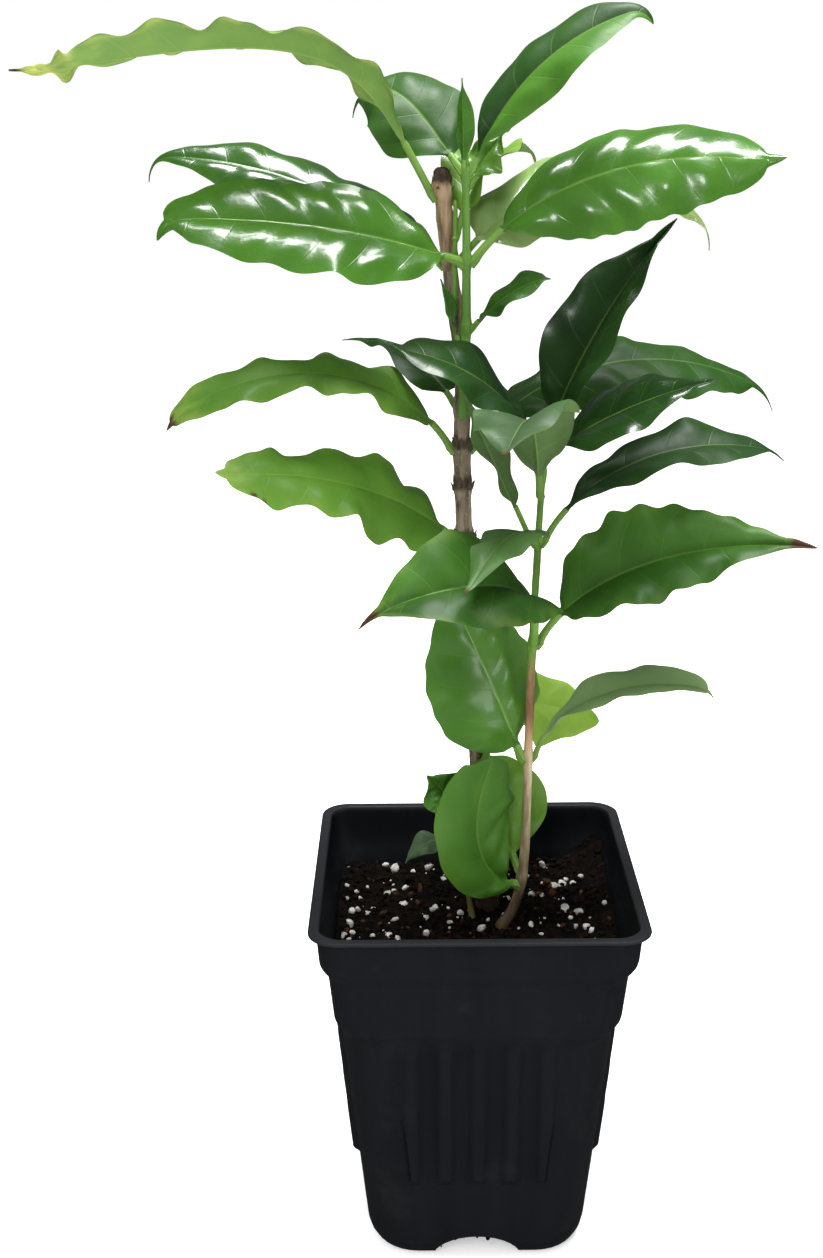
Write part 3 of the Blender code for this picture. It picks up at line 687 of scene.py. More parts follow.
def pot_plastic():
    """Black moulded plastic with faint draw lines, a little dust and a painted highlight along its rim."""
    finish = Finish("pot plastic", Specular_IOR_Level=0.12)
    grain = finish.noise(1400.0, 3.0, 0.6)
    drawn = finish.noise(120.0, 3.0, where=finish.stretched((1.0, 1.0, 0.05)))
    dust = finish.noise(45.0, 5.0, 0.65).eased(0.56, 0.80)
    black = finish.mix(drawn, (0.0045, 0.0055, 0.0075), (0.0080, 0.0095, 0.0125))
    # A painted highlight: the top edge of the rim is painted a paler grey.
    rim = finish.height().past(RIM_HIGHLIGHT)
    black = finish.mix(rim, black, (0.0170, 0.0185, 0.0215))
    finish.colour(finish.mix(dust * 0.2, black, (0.040, 0.038, 0.036)))
    finish.roughness(0.40 + grain * 0.12 + drawn * 0.08)
    finish.bump(grain * 0.35 + drawn, 0.18, 0.0004)
    return finish.material


def soil_finish():
    """Dark damp potting mix."""
    finish = Finish("potting mix", Specular_IOR_Level=0.06)
    lump = finish.noise(260.0, 5.0, 0.65)
    fine = finish.noise(1300.0, 4.0, 0.7)
    dark = finish.mix(lump.eased(0.4, 0.75), (0.0018, 0.0013, 0.0010), (0.0085, 0.0052, 0.0034))
    finish.colour(finish.mix(fine.eased(0.62, 0.75) * 0.5, dark, (0.036, 0.019, 0.011)))
    finish.roughness(0.85 + fine * 0.12)
    finish.bump(lump + fine * 0.6, 0.9, 0.0012)
    return finish.material


def crumb_finish(name, dark, light):
    """Crumbs of peat, bark or perlite, each colour cloudy."""
    finish = Finish(name, Specular_IOR_Level=0.06)
    cloud = finish.noise(520.0, 4.0, 0.6)
    finish.colour(finish.mix(cloud.eased(0.3, 0.7), dark, light))
    finish.roughness(0.8 + cloud * 0.15)
    finish.bump(cloud, 0.6, 0.0005)
    return finish.material


def make_camera():
    """A camera at the photograph's place and angle."""
    pitch, yaw, roll = (radians(angle) for angle in (CAMERA_PITCH, CAMERA_YAW, CAMERA_ROLL))
    right = Vector((cos(yaw), sin(yaw), 0.0))
    ahead = Vector((-sin(yaw) * cos(pitch), cos(yaw) * cos(pitch), -sin(pitch)))
    up = right.cross(ahead)
    rolled_right = right * cos(roll) + up * sin(roll)
    rolled_up = up * cos(roll) - right * sin(roll)
    turn = Matrix((rolled_right, rolled_up, -ahead)).transposed()
    data = bpy.data.cameras.new("photo_camera")
    data.sensor_width = 36.0
    data.lens = CAMERA_LENS
    data.clip_start = 0.01
    camera = add_object("photo_camera", data)
    camera.matrix_world = Matrix.Translation(CAMERA_PLACE) @ turn.to_4x4()
    bpy.context.scene.camera = camera


def make_light(name, place, target, size, power):
    """A soft square lamp that looks at a target."""
    data = bpy.data.lights.new(name, "AREA")
    data.size = size
    data.energy = power
    lamp = add_object(name, data)
    lamp.location = place
    lamp.rotation_euler = (Vector(target) - Vector(place)).to_track_quat("-Z", "Y").to_euler()


def make_sun():
    """Even soft light from above and a little to the left, the same all over the floor."""
    data = bpy.data.lights.new("soft_sun", "SUN")
    data.energy = SUN_LIGHT
    data.angle = radians(SUN_SPREAD)
    sun = add_object("soft_sun", data)
    sun.rotation_euler = (radians(SUN_TILT[0]), radians(SUN_TILT[1]), 0.0)
    sun.visible_glossy = False


def make_world():
    """A white surround that shines less, and is mirrored less, than the camera sees of it."""
    world = bpy.data.worlds.new("studio")
    bpy.context.scene.world = world
    world.use_nodes = True
    nodes, links = world.node_tree.nodes, world.node_tree.links
    rays = nodes.new("ShaderNodeLightPath")
    shown = nodes["Background"]
    shown.inputs["Color"].default_value = WHITE
    shown.inputs["Strength"].default_value = WORLD_LIGHT
    for ray, strength in (("Is Glossy Ray", MIRRORED_WORLD), ("Is Camera Ray", 1.0)):
        other, choice = nodes.new("ShaderNodeBackground"), nodes.new("ShaderNodeMixShader")
        other.inputs["Color"].default_value = WHITE
        other.inputs["Strength"].default_value = strength
        links.new(rays.outputs[ray], choice.inputs[0])
        links.new(shown.outputs[0], choice.inputs[1])
        links.new(other.outputs[0], choice.inputs[2])
        shown = choice
    links.new(shown.outputs[0], nodes["World Output"].inputs["Surface"])


def make_floor():
    """A wide white floor just under the pot."""
    finish = Finish("studio floor", Roughness=0.9, Specular_IOR_Level=0.0, Emission_Strength=FLOOR_GLOW)
    finish.shader.inputs["Emission Color"].default_value = WHITE
    faint = finish.noise(3.0, 2.0)
    finish.colour(finish.mix(faint, (0.90, 0.90, 0.90), (0.93, 0.93, 0.93)))
    signs = ((-1, -1), (1, -1), (1, 1), (-1, 1))
    corners = [(x * FLOOR_REACH * MM, y * FLOOR_REACH * MM, 0.0) for x, y in signs]
    mesh = bpy.data.meshes.new("studio_floor")
    mesh.from_pydata(corners, [], [(0, 1, 2, 3)])
    mesh.materials.append(finish.material)
    floor = add_object("studio_floor", mesh)
    floor.location.z = -FLOOR_DROP * MM
    floor.visible_glossy = False


def make_studio():
    """A pale floor, a white surround and soft lamps overhead."""
    bpy.context.scene.view_settings.view_transform = "Standard"
    make_world()
    for lamp in LAMPS:
        make_light(*lamp)
    make_sun()
    make_floor()


def stem_centre(stem, height):
    """The middle of a stem at a height above the underside."""
    climb = height - stem.foot
    part = climb / (stem.top - stem.foot)
    swept = 1.0 - exp(-max(climb, 0.0) / stem.sweep_height)
    place = [
        stem.base[axis] + stem.lean[axis] * part + stem.bow[axis] * sin(pi * part)
        + stem.sweep[axis] * swept
        for axis in (0, 1)
    ]
    place[0] += stem.knee * exp(-(((height - stem.knee_height) / KNEE_REACH) ** 2))
    return np.array((*place, height))


def stem_radius(stem, height):
    """A true taper, with a swelling at each leaf node and a flare at ground level."""
    climb = height - stem.foot
    taper = stem.foot_radius + (stem.tip_radius - stem.foot_radius) * climb / (stem.top - stem.foot)
    flare = 0.35 * stem.foot_radius * exp(-max(climb, 0.0) / 4.0) if stem.foot == GROUND else 0.0
    swelling = sum(stem.swelling * exp(-(((height - node) / 2.2) ** 2)) for node in stem.nodes)
    return taper + flare + swelling


def turned_to(ahead):
    """The rotation that takes +Z to a direction, as a matrix."""
    turn = Vector((0.0, 0.0, 1.0)).rotation_difference(Vector(ahead))
    return np.array(turn.to_matrix())


def make_stem(stem, finish, relief, sides, step=0.7):
    """A stem with its bark's relief: fissures, rings at the nodes and a rounded end."""
    heights = np.append(np.arange(stem.foot - STEM_ROOT, stem.top, step), stem.top)
    angles = np.arange(sides) * 2 * pi / sides
    flat = np.stack((np.cos(angles), np.sin(angles), np.zeros(sides)), axis=-1)
    rings = []
    for height in heights:
        radius = stem_radius(stem, height)
        circle = flat + (0.0, 0.0, height / 9.0)
        rough = wobble(circle * (1.0, 1.0, 0.5), 0.9, 11) * relief
        rough = rough + wobble(circle, 0.3, 12) * relief * 0.35
        if relief > OLD_BARK:
            radius += 0.25 * sum(exp(-(((height - node - 2.4) / 0.5) ** 2)) for node in stem.nodes)
            lumpy = exp(-(((height - LUMP_HEIGHT) / LUMP_SPAN) ** 2))
            radius += LUMP_RISE * lumpy
            rough = rough * (1.0 + 1.6 * lumpy)
        into_end = max(height - stem.top + STEM_END, 0.0)
        dome = np.sqrt(max(1.0 - (into_end / 1.35) ** 2, 0.0))
        ahead = stem_centre(stem, height + 0.5) - stem_centre(stem, height - 0.5)
        ring = flat * ((radius + rough) * dome)[:, None]
        rings.append(stem_centre(stem, height) + ring @ turned_to(ahead).T)
    piece = ringed_piece(f"{stem.name}_bark", rings, [finish], 60)
    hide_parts(stem.name)
    return piece


def stalk_radius(leaf):
    """Bigger leaves have thicker stalks."""
    return 0.45 + 0.02 * leaf.width


def drooped(leaf, part):
    """How much of its droop a leaf has made at a part of the way to its tip."""
    if leaf.crest:
        return part ** 4 * (1.0 + leaf.crest ** 4) / (part ** 4 + leaf.crest ** 4)
    return part ** leaf.bend


def leaf_route(leaf, steps=60):
    """Places, forward and left directions along the stalk and the middle vein."""
    part = np.arange(steps + 1) / steps
    hooked = leaf.hook * smoothstep((part - 0.86) / 0.14)
    rise = np.radians(leaf.rise - leaf.droop * drooped(leaf, part) - hooked)
    heading = np.radians(leaf.heading + leaf.sway * part)
    level = np.cos(rise)
    forward = np.stack((np.cos(heading) * level, np.sin(heading) * level, np.sin(rise)), axis=-1)
    left = np.stack((-np.sin(heading), np.cos(heading), np.zeros(steps + 1)), axis=-1)
    length = leaf.stalk + leaf.length
    travelled = np.cumsum(forward[:-1] * length / steps, axis=0)
    return np.concatenate((np.zeros((1, 3)), travelled)), forward, left


def along_route(values, part):
    """Values of the route at parts of the way along."""
    where = np.clip(part, 0.0, 1.0) * (len(values) - 1)
    index = np.minimum(where.astype(int), len(values) - 2)
    share = (where - index)[:, None]
    return values[index] * (1.0 - share) + values[index + 1] * share


def leaf_outward(leaf):
    """The level direction in which a leaf leaves its stem."""
    return np.array((cos(radians(leaf.heading)), sin(radians(leaf.heading)), 0.0))


def leaf_start(leaf, stem):
    """Where a leaf's stalk leaves the bark of its stem."""
    return stem_centre(stem, leaf.height) + leaf_outward(leaf) * (stem_radius(stem, leaf.height) + 0.5)


def half_widths(leaf, along, seed):
    """The left and right half widths along a blade, each with its own uneven margin."""
    core = np.clip(along, 0.0, 1.0) / (1.0 - 0.7 * leaf.drip)
    bent = np.minimum(core, 1.0) ** leaf.skew
    power = np.where(bent < 0.5, leaf.heel, leaf.blunt)
    body = np.maximum(np.sin(pi * bent), 0.0) ** power
    tail = 0.16 * np.clip((1.0 - along) / leaf.drip, 0.0, 1.0) ** 0.6 * smoothstep(along * 2.0 - 0.6)
    joint = stalk_radius(leaf) * np.clip(1.0 - along, 0.0, 1.0) ** 4
    width = np.hypot(leaf.width / 2 * np.hypot(body, tail), joint)
    sides = []
    for side in (0, 1):
        uneven = 0.045 * leaf.ripple * wobble(along[:, None] * leaf.length, 17.0, seed + side, 2)
        sides.append(np.maximum(width * (1.0 + uneven * smoothstep(along * 8.0)), TIP_HALF_WIDTH))
    return sides


def vein_phase(leaf, along, reach, side):
    """Counts the side veins, which leave the middle vein and bend towards the tip."""
    spacing = leaf.length / max(FEWEST_VEINS, leaf.length / VEIN_DISTANCE)
    bent = VEIN_BEND[0] * reach + VEIN_BEND[1] * reach * reach
    return (along * leaf.length - bent) / spacing + 0.35 * side


def blade_relief(leaf, along, across, width, seed):
    """How far to the left the blade's points lie, their height over its middle, and the vein phase."""
    edge = np.abs(across)
    reach = edge * width
    spread = smoothstep(along / 0.12)
    fading = spread * np.minimum(1.0, 2.5 * (1.0 - along))
    fold = np.radians(leaf.fold) * spread
    left = (across > 0).astype(float)
    size = leaf.width / 30.0
    swing = 2 * pi * leaf.waves * along + radians(leaf.phase) + 2.0 * (1.0 - left)
    turns = 2 * pi * along * leaf.length
    ruffle = np.sin(turns / RIPPLE_LENGTHS[0] + seed * 1.7 + 2.6 * left)
    ruffle = ruffle + 0.3 * np.sin(turns / RIPPLE_LENGTHS[1] + seed * 0.9 + 1.3 * left)
    phase = vein_phase(leaf, along, reach, left)
    quilted = 0.5 - 0.5 * np.cos(2 * pi * phase)
    window = np.sin(pi * np.clip(edge * 1.05, 0.0, 1.0)) ** 0.8
    patchy = 0.75 + 0.55 * wobble(blade_places(leaf, along, across), 24.0, seed + 5, 2)
    lift = leaf.wave * edge ** 1.5 * np.sin(swing)
    lift = lift + RIPPLE_HEIGHT * leaf.ripple * edge ** 2.2 * ruffle
    lift = lift + BLADE_BULGE * size * np.sin(pi * edge)
    lift = lift + QUILTING[leaf.gloss] * size * patchy * quilted ** 0.8 * window
    return reach * np.cos(fold) * np.sign(across), reach * np.sin(fold) + lift * fading, phase


def blade_places(leaf, along, across):
    """Points of a blade laid flat, in millimetres."""
    return np.stack((along * leaf.length, across * leaf.width / 2), axis=-1)


def leaf_stations(leaf):
    """Where a leaf's rings lie, -1 to 0 on its stalk and 0 to 1 on its blade, and how far from the
    stem."""
    stalk = np.linspace(-1.0, 0.0, int(6 + leaf.stalk), endpoint=False)
    blade = np.linspace(0.0, 1.0, int(24 + leaf.length * 0.95)) ** 0.92
    along = np.concatenate((stalk, blade))
    travelled = np.where(along < 0, leaf.stalk * (1.0 + along), leaf.stalk + along * leaf.length)
    return along, travelled


def leaf_axes(leaf, along, travelled):
    """The middle, left and upward directions of each ring, turned by the leaf's roll and twist."""
    part = travelled / (leaf.stalk + leaf.length)
    middle, ahead, sideways = (along_route(values, part) for values in leaf_route(leaf))
    middle[0] -= leaf_outward(leaf) * STALK_ROOT + (0.0, 0.0, STALK_ROOT)
    upward = np.cross(ahead, sideways)
    turn = np.radians(leaf.roll * smoothstep(travelled / (leaf.stalk + 8.0)))
    curl = 0.6 + 0.4 * np.sin(2 * pi * travelled / CURL_LENGTH)
    turn += np.radians(TWISTS.get(leaf.name, 0.0)) * smoothstep((along - 0.84) / 0.06) * curl
    turn = turn[:, None]
    sideways, upward = (sideways * np.cos(turn) + upward * np.sin(turn),
                        upward * np.cos(turn) - sideways * np.sin(turn))
    return middle[:, None], sideways[:, None], upward[:, None]


def leaf_section(leaf, along, travelled, across, seed):
    """How far to the left each point of a leaf lies, the heights of its upper and lower skins, and
    the vein phase."""
    blade = np.clip(along, 0.0, 1.0)
    right_width, left_width = half_widths(leaf, blade, seed)
    grid_along, grid_across = np.meshgrid(blade, across, indexing="ij")
    width = np.where(grid_across > 0, left_width[:, None], right_width[:, None])
    flat_side, lift, phase = blade_relief(leaf, grid_along, spread_out(grid_across), width, seed)
    bulb = 1.0 + 0.35 * np.exp(-travelled / 2.0)[:, None]
    radius = stalk_radius(leaf)
    round_side = radius * np.sin(grid_across * pi / 2) * bulb
    is_blade = smoothstep(grid_along / 0.03)
    side = round_side * (1 - is_blade) + flat_side * is_blade
    rib = radius * np.exp(-grid_along * 3.0) * 0.9 + 0.1
    bulge = 1.0 - (side / np.maximum(rib, radius * (1 - is_blade))) ** 2
    bulge = np.sqrt(np.clip(bulge, 0.0, 1.0))
    thin = BLADE_THICKNESS / 2 * (1.0 - 0.35 * grid_along) * (1.0 - 0.75 * np.abs(grid_across) ** 6)
    groove = MIDDLE_VEIN_GROOVE * np.exp(-(side / 0.9) ** 2) * (1.0 - 0.5 * grid_along)
    roundness = bulb * radius * (1.0 - is_blade)
    top = (lift + thin - groove) * is_blade + bulge * roundness
    bottom = (lift - thin) * is_blade - bulge * np.maximum(roundness, rib * is_blade * 0.8)
    return side, top, bottom, phase


def spread_out(across):
    """Places across a blade, closer together at its middle vein."""
    return np.sign(across) * np.abs(across) ** 1.4


def make_leaf(leaf, stems, skins, number):
    """One leaf: a thin blade with its veins and wavy margins on a round stalk."""
    seed = 40 + 3 * number
    half = BLADE_COLUMNS[0] if leaf.width > WIDE_BLADE else BLADE_COLUMNS[1]
    across = np.linspace(-1.0, 1.0, 2 * half + 1)
    along, travelled = leaf_stations(leaf)
    middle, sideways, upward = leaf_axes(leaf, along, travelled)
    side, top, bottom, phase = leaf_section(leaf, along, travelled, across, seed)
    flat = middle + sideways * side[..., None]
    upper = flat + upward * top[..., None]
    lower = flat + upward * bottom[..., None]
    rings = np.concatenate((upper[:, ::-1], lower[:, 1:-1]), axis=1)
    rings = rings + leaf_start(leaf, stems[leaf.name.split("_")[0]])
    places = np.ones((len(rings) - 1, len(rings[0])), dtype=int)
    places[:, :2 * half] = 0
    places[along[1:] <= 0.012] = 2
    places = np.append(places.ravel(), (2, 0))
    piece = ringed_piece(f"{leaf.name}_blade", rings, skins, 70, places)
    columns = np.concatenate((np.arange(2 * half + 1)[::-1], np.arange(1, 2 * half)))
    store_leaf_maps(leaf, piece.data, along, across[columns], phase[:, columns], seed)
    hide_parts(leaf.name)
    return piece


def store_leaf_maps(leaf, mesh, along, across, phase, seed):
    """The maps that tell a leaf's skins where they are, and their veins, wear and tone."""
    ringed, lengthwise = np.meshgrid(across, np.clip(along, 0.0, 1.0))
    spread = spread_out(ringed)
    shade = blade_shade(leaf, lengthwise, spread, seed)
    upper_columns = len(across) // 2 + 1
    shade[:, :upper_columns] -= DEEPER.get(leaf.name, 0.0)
    maps = {
        "blade": (spread * 0.5 + 0.5, lengthwise),
        "veins": (phase, np.abs(ringed)),
        "wear": blade_wear(leaf, lengthwise, spread, seed),
        "tone": (shade, np.full_like(shade, leaf.grey)),
    }
    for name, pair in maps.items():
        store_map(mesh, name, np.stack(pair, axis=-1).reshape(-1, 2))


def blade_shade(leaf, along, across, seed):
    """The shade of each place of a blade: mottled, a little paler towards its margin, and with
    painted light and shade that makes one half paler and the other half darker.
    """
    mottled = wobble(blade_places(leaf, along, across), 30.0, seed + 9, 2)
    margin = smoothstep((np.abs(across) - 0.7) / 0.3)
    # Painted light and shade: by the leaf's split, one half of the blade is painted paler and the other
    # darker.
    half = 2.0 * smoothstep(across / 0.1 + 0.5) - 1.0
    return np.clip(leaf.shade + leaf.split * half + 0.05 * mottled + 0.05 * margin, 0.0, 1.0)


def blade_wear(leaf, along, across, seed):
    """How dry and how paled each place of a blade is, from 0 to 1."""
    uneven = wobble(blade_places(leaf, along, across), 9.0, seed + 7, 3)
    dry = np.zeros_like(along)
    if leaf.tip:
        dry = smoothstep((along - 1.0 + leaf.tip) / 0.02 + 0.9 * uneven + 0.5)
        dry = dry * (along > 1.0 - 2.0 * leaf.tip)
    for spot_along, spot_across, size in SPOTS.get(leaf.name, ()):
        away = np.hypot(along - spot_along, (across - spot_across) * 0.5 * leaf.width / leaf.length)
        dry = np.maximum(dry, 1.0 - smoothstep(away * leaf.length / size + 0.5 * uneven - 0.3))
    near_tip = smoothstep((along - 0.80) / 0.20 + 0.3 * uneven)
    margin = smoothstep((np.abs(across) - 0.62) / 0.38) * smoothstep(0.5 + uneven)
    paled = leaf.yellow * np.clip(0.9 * near_tip + 0.4 * margin, 0.0, 1.0)
    return dry, paled


def pot_outline(width, radius, height, side_points=44, corner_points=9):
    """Points round a square with round corners, anticlockwise, with each one's outward direction
    and how far it is along its side."""
    inset = width / 2 - radius
    angles = np.linspace(0.0, pi / 2, corner_points)
    normal = np.stack((np.cos(angles), np.sin(angles)), axis=-1)
    run = np.linspace(inset, -inset, side_points + 2)[1:-1]
    side = np.stack((run, np.full(side_points, width / 2)), axis=-1)
    quarter = np.concatenate((inset + radius * normal, side))
    facing = np.concatenate((normal, np.broadcast_to((0.0, 1.0), (side_points, 2))))
    distance = np.concatenate((np.full(corner_points, 1e3), run))
    turns = [np.array(Matrix.Rotation(index * pi / 2, 2)).T for index in range(4)]
    flat = np.concatenate([quarter @ turn for turn in turns])
    outward = np.concatenate([facing @ turn for turn in turns])
    points = np.column_stack((flat, np.full(len(flat), height)))
    return points, np.column_stack((outward, np.zeros(len(flat)))), np.tile(distance, 4)


def softened(values, reach):
    """Values along evenly spaced levels, with their corners rounded."""
    spread = np.exp(-((np.arange(-4 * reach, 4 * reach + 1) / reach) ** 2) / 2)
    padded = np.pad(values, 4 * reach, mode="edge")
    return np.convolve(padded, spread / spread.sum(), mode="valid")


def rib_rise(distance, height):
    """How far the ribs stand out at a place on a side wall."""
    middles = (np.arange(RIBS) - (RIBS - 1) / 2) * RIB_PITCH
    off = np.abs(distance[:, None] - middles).min(axis=1)
    crest = smoothstep((RIB_WIDTH / 2 + 0.5 - off) / 2.2)
    tall = smoothstep((height - RIB_FOOT + 1.6) / 2.4) * smoothstep((RIB_TOP + 0.5 - height) / 3.5)
    return RIB_RISE * crest * tall


def make_pot(finish):
    """The pot with soft moulded edges, ribs, a thin rim and four drain arches."""
    level_heights, level_widths, level_radii = np.array(POT_LEVELS).T
    heights = np.arange(1.0, WALL_TOP, 1.0)
    widths = softened(np.interp(heights, level_heights, level_widths), 1)
    radii = softened(np.interp(heights, level_heights, level_radii), 2)
    rings = [pot_outline(*ring)[0] for ring in FOOT_RINGS]
    for height, width, radius in zip(heights, widths, radii):
        points, outward, distance = pot_outline(width, radius, height)
        rings.append(points + outward * rib_rise(distance, height)[:, None])
    rings += [pot_outline(*ring)[0] for ring in RIM_RINGS]
    for height in np.arange(WALL_TOP, FLOOR, -4.0):
        rings.append(pot_outline(*inside_size(height, 0.0), height)[0])
    rings.append(pot_outline(*FLOOR_RING)[0])
    pot = ringed_piece("pot_shell", rings, [finish], 50)
    cut_drains(pot)
    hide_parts("pot")


def cut_drains(pot):
    """Cuts an arch through the foot of each side wall."""
    half = POT_LEVELS[0][1] / 2
    angles = np.linspace(0.0, pi, 15)
    across, tall = np.cos(angles) * DRAIN_WIDTH / 2, np.maximum(np.sin(angles), 0.0) * DRAIN_HEIGHT
    outline = [(across[0], -1.0), *zip(across, tall), (across[-1], -1.0)]
    points, faces = [], []
    for index in range(4):
        turn = np.array(Matrix.Rotation(index * pi / 2, 2))
        first = len(points)
        for reach in (half - DRAIN_DEPTH, half + DRAIN_DEPTH):
            points += [(*(turn @ (reach, place)), height) for place, height in outline]
        add_faces(faces, first, ring_faces(2, len(outline)))
    mesh = bpy.data.meshes.new("drain_arches")
    mesh.from_pydata((np.array(points) * MM).tolist(), [], faces)
    cutter = add_object("drain_arches", mesh)
    step = pot.modifiers.new("drains", "BOOLEAN")
    step.operation = "DIFFERENCE"
    step.solver = "EXACT"
    step.object = cutter
    evaluated = pot.evaluated_get(bpy.context.evaluated_depsgraph_get())
    cut = bpy.data.meshes.new_from_object(evaluated)
    pot.modifiers.clear()
    pot.data = cut
    bpy.data.objects.remove(cutter)


def soil_height(places):
    """The soil's surface, in millimetres, at points across the pot."""
    broad = wobble(places, 38.0, 3, 2)
    lumpy = wobble(places, 9.0, 4, 3)
    right = RIGHT_BANK * smoothstep((places[:, 0] - BANK_START) / BANK_REACH)
    left = LEFT_BANK * smoothstep((-places[:, 0] - BANK_START) / BANK_REACH)
    away = (((places - CORNER_PLACE) / CORNER_REACH) ** 2).sum(axis=1)
    banked = right + left + CORNER_HEAP * np.exp(-away)
    return SOIL_TOP - 0.4 + SOIL_RELIEF * (0.7 * broad + 0.45 * lumpy) + banked


def inside_size(height, clearance):
    """Width and corner radius of the space in the pot at a height."""
    levels = np.array(POT_LEVELS)
    width = np.interp(height, levels[:, 0], levels[:, 1]) - 2 * (WALL + clearance)
    radius = np.interp(height, levels[:, 0], levels[:, 2]) - WALL - clearance
    return width, radius


def make_soil(finish):
    """The body of the potting mix with an uneven top."""
    rings = [pot_outline(*ring)[0] for ring in SOIL_FOOT_RINGS]
    for height in SOIL_LEVELS:
        rings.append(pot_outline(*inside_size(height, GAP), height)[0])
    width, radius = inside_size(SOIL_TOP, GAP)
    for scale in np.linspace(1.0, 0.01, SOIL_TOP_RINGS):
        ring = pot_outline(width * scale, radius * scale, 0.0)[0]
        ring[:, 2] = soil_height(ring[:, :2])
        ring[:, :2] *= (inside_size(ring[:, 2], GAP)[0] / width)[:, None]
        rings.append(ring)
    soil = ringed_piece("soil_body", rings, [finish], 80)
    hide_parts("soil")


def lump_shape(rng, rough):
    """The points and faces of one irregular lump about 1 across."""
    points, faces = coarse_ball()
    points = points * rng.uniform(0.55, 1.0, size=3)
    points = points * (1.0 + rough * wobble(points, 0.9, int(rng.integers(1e6)), 2))[:, None]
    return points, faces


def coarse_ball():
    """Points and faces of a coarse ball of diameter 1."""
    ball = bmesh.new()
    bmesh.ops.create_icosphere(ball, subdivisions=2, radius=0.5)
    ball.verts.index_update()
    points = np.array([vertex.co[:] for vertex in ball.verts])
    faces = np.array([[corner.index for corner in face.verts] for face in ball.faces])
    ball.free()
    return points, faces


def soil_spots(number, seed):
    """Points spread over the surface of the soil."""
    rng = np.random.default_rng(seed)
    width, radius = inside_size(SOIL_TOP, 1.2)
    flat = rng.uniform(-width / 2, width / 2, size=(number, 2))
    beyond = np.maximum(np.abs(flat) - (width / 2 - radius), 0.0)
    flat = flat[np.hypot(beyond[:, 0], beyond[:, 1]) <= radius]
    heights = soil_height(flat)
    flat *= (inside_size(heights, GAP)[0] / inside_size(SOIL_TOP, GAP)[0])[:, None]
    return np.column_stack((flat, heights))


def drain_spots(number, seed):
    """Points in the four drain arches, where the mix shows behind the wall."""
    rng = np.random.default_rng(seed)
    spots = []
    for index in range(number):
        across = np.clip(rng.normal(-0.15, 0.34), -0.85, 0.85)
        height = DRAIN_HEIGHT * (1.0 - across * across) ** 0.5 + rng.uniform(-1.3, 0.6)
        outward = POT_LEVELS[0][1] / 2 + rng.uniform(1.6, 3.8)
        flat = np.array(Matrix.Rotation(index % 4 * pi / 2, 2)) @ (outward, across * DRAIN_WIDTH / 2)
        spots.append((*flat, height))
    return np.array(spots)


def scatter(name, finish, spots, sizes, rough, seed, stretch=1.0):
    """Many lumps lying at points, as one mesh."""
    rng = np.random.default_rng(seed)
    shapes = [lump_shape(rng, rough) for _ in range(8)]
    points, faces, total = [], [], 0
    for spot in spots:
        size = sizes[0] + (sizes[1] - sizes[0]) * rng.random() ** 2.2
        shape, shape_faces = shapes[rng.integers(len(shapes))]
        turn = np.array(Matrix.Rotation(rng.uniform(0, 2 * pi), 3, Vector(rng.normal(size=3))))
        lump = (shape * (stretch, 1.0, 1.0)) @ turn.T * size
        points.append(lump + spot + (0.0, 0.0, size * rng.uniform(-0.12, 0.25)))
        faces.append(shape_faces + total)
        total += len(shape)
    faces = np.concatenate(faces).tolist()
    piece = make_piece(name, np.concatenate(points), faces, [finish], 40)


def make_scales(finish, stem):
    """Small dry scales that ring the old nodes of the woody stem."""
    rng = np.random.default_rng(5)
    points, faces = [], []
    for node in SCALE_NODES:
        for _ in range(SCALES_EACH):
            angle = rng.uniform(0, 2 * pi)
            height = node + rng.uniform(-2.6, 0.8)
            outward = np.array((cos(angle), sin(angle), 0.0))
            sideways = np.array((-sin(angle), cos(angle), 0.0))
            root = stem_centre(stem, height) + outward * (stem_radius(stem, height) - 0.25)
            tall, wide, out = rng.uniform(1.4, 3.4), rng.uniform(0.6, 1.3), rng.uniform(0.2, 1.5)
            first = len(points)
            half, front = sideways * wide, outward * 0.5
            tip = root + outward * out + np.array((0.0, 0.0, tall))
            points += [root - half, root + half, tip, root - half * 0.8 + front, root + half * 0.8 + front]
            add_faces(faces, first, ((0, 3, 4, 1), (0, 1, 2), (3, 2, 4), (0, 2, 3), (1, 4, 2)))
    piece = make_piece("bud_scales", points, faces, [finish], 30)


def make_stipules(finish, stems):
    """Small pointed stipules that clasp the green nodes."""
    points, faces = [], []
    for name, nodes in STIPULE_NODES.items():
        for node in nodes:
            for facing in STIPULE_FACINGS:
                add_stipule(points, faces, stems[name], node, radians(facing))
    piece = make_piece("stipules", points, faces, [finish], 60)


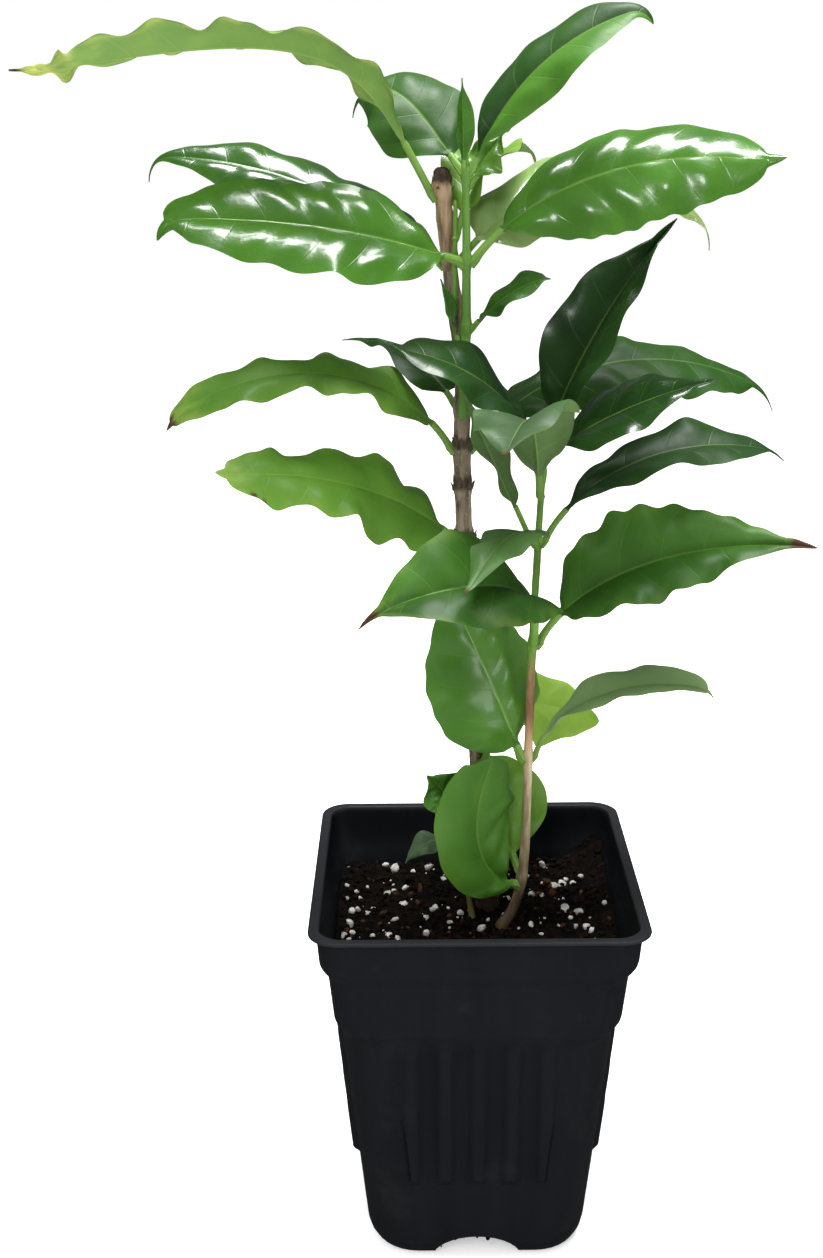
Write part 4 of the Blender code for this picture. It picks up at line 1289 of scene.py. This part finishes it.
def add_stipule(points, faces, stem, node, facing):
    """One stipule: a thin pointed flap that hugs the stem above a node."""
    rows, columns = 7, 5
    first = len(points)
    for part in np.linspace(0.0, 1.0, rows):
        height = node + 0.6 + STIPULE_HEIGHT * part
        spread = radians(62.0) * (1.0 - part) ** 0.8 + 0.05
        angles = facing + spread * np.linspace(-1.0, 1.0, columns)
        outer = stem_radius(stem, height) + 0.16 + 0.5 * part ** 2
        angles = np.concatenate((angles, angles[::-1]))
        reach = np.repeat((outer, outer - STIPULE_THICKNESS), columns)
        ring = np.column_stack((np.cos(angles) * reach, np.sin(angles) * reach, np.zeros(2 * columns)))
        points += list(ring + stem_centre(stem, height))
    add_faces(faces, first, ring_faces(rows, 2 * columns))


def make_potting_mix():
    """The body of the mix, and the crumbs, bark and perlite that lie on it and in the drains."""
    make_soil(soil_finish())
    peat = crumb_finish("peat crumbs", (0.0018, 0.0013, 0.0010), (0.0105, 0.0062, 0.0038))
    bits = crumb_finish("bark bits", (0.0200, 0.0095, 0.0055), (0.0750, 0.0350, 0.0190))
    perlite = crumb_finish("perlite grains", (0.2900, 0.2800, 0.2600), (0.6300, 0.6200, 0.5900))
    scatter("peat_crumbs", peat, soil_spots(CRUMBS, 31), (0.5, 3.0), 0.48, 21)
    scatter("drain_crumbs", peat, drain_spots(DRAIN_CRUMBS, 34), (0.7, 2.4), 0.48, 24)
    scatter("bark_bits", bits, soil_spots(BARK_BITS, 32), (0.9, 3.2), 0.2, 22, 1.9)
    scatter("perlite_grains", perlite, soil_spots(PERLITE_GRAINS, 33), (0.5, 3.9), 0.42, 23)


def main():
    make_camera()
    make_studio()
    stems = {stem.name.split("_")[0]: stem for stem in STEMS}
    barks = {
        "woody_stem": (woody_bark(), 0.30, 48, "bark"),
        "young_stem": (tan_bark(), 0.10, 24, "tan_stem"),
    }
    shoot = green_bark()
    for stem in STEMS:
        finish, relief, sides, slot = barks.get(stem.name, (shoot, 0.05, 24, "green_stem"))
        make_stem(stem, finish, relief, sides)
    make_scales(scale_skin(), stems["woody"])
    make_stipules(shoot, stems)
    stalk = stalk_skin()
    skins = {}
    for kind, gloss in GLOSSES.items():
        skins[kind] = [upper_skin(kind, gloss), under_skin(kind, gloss), stalk]
    for number, leaf in enumerate(LEAVES):
        make_leaf(leaf, stems, skins[leaf.gloss], number)
    make_pot(pot_plastic())
    make_potting_mix()


main()
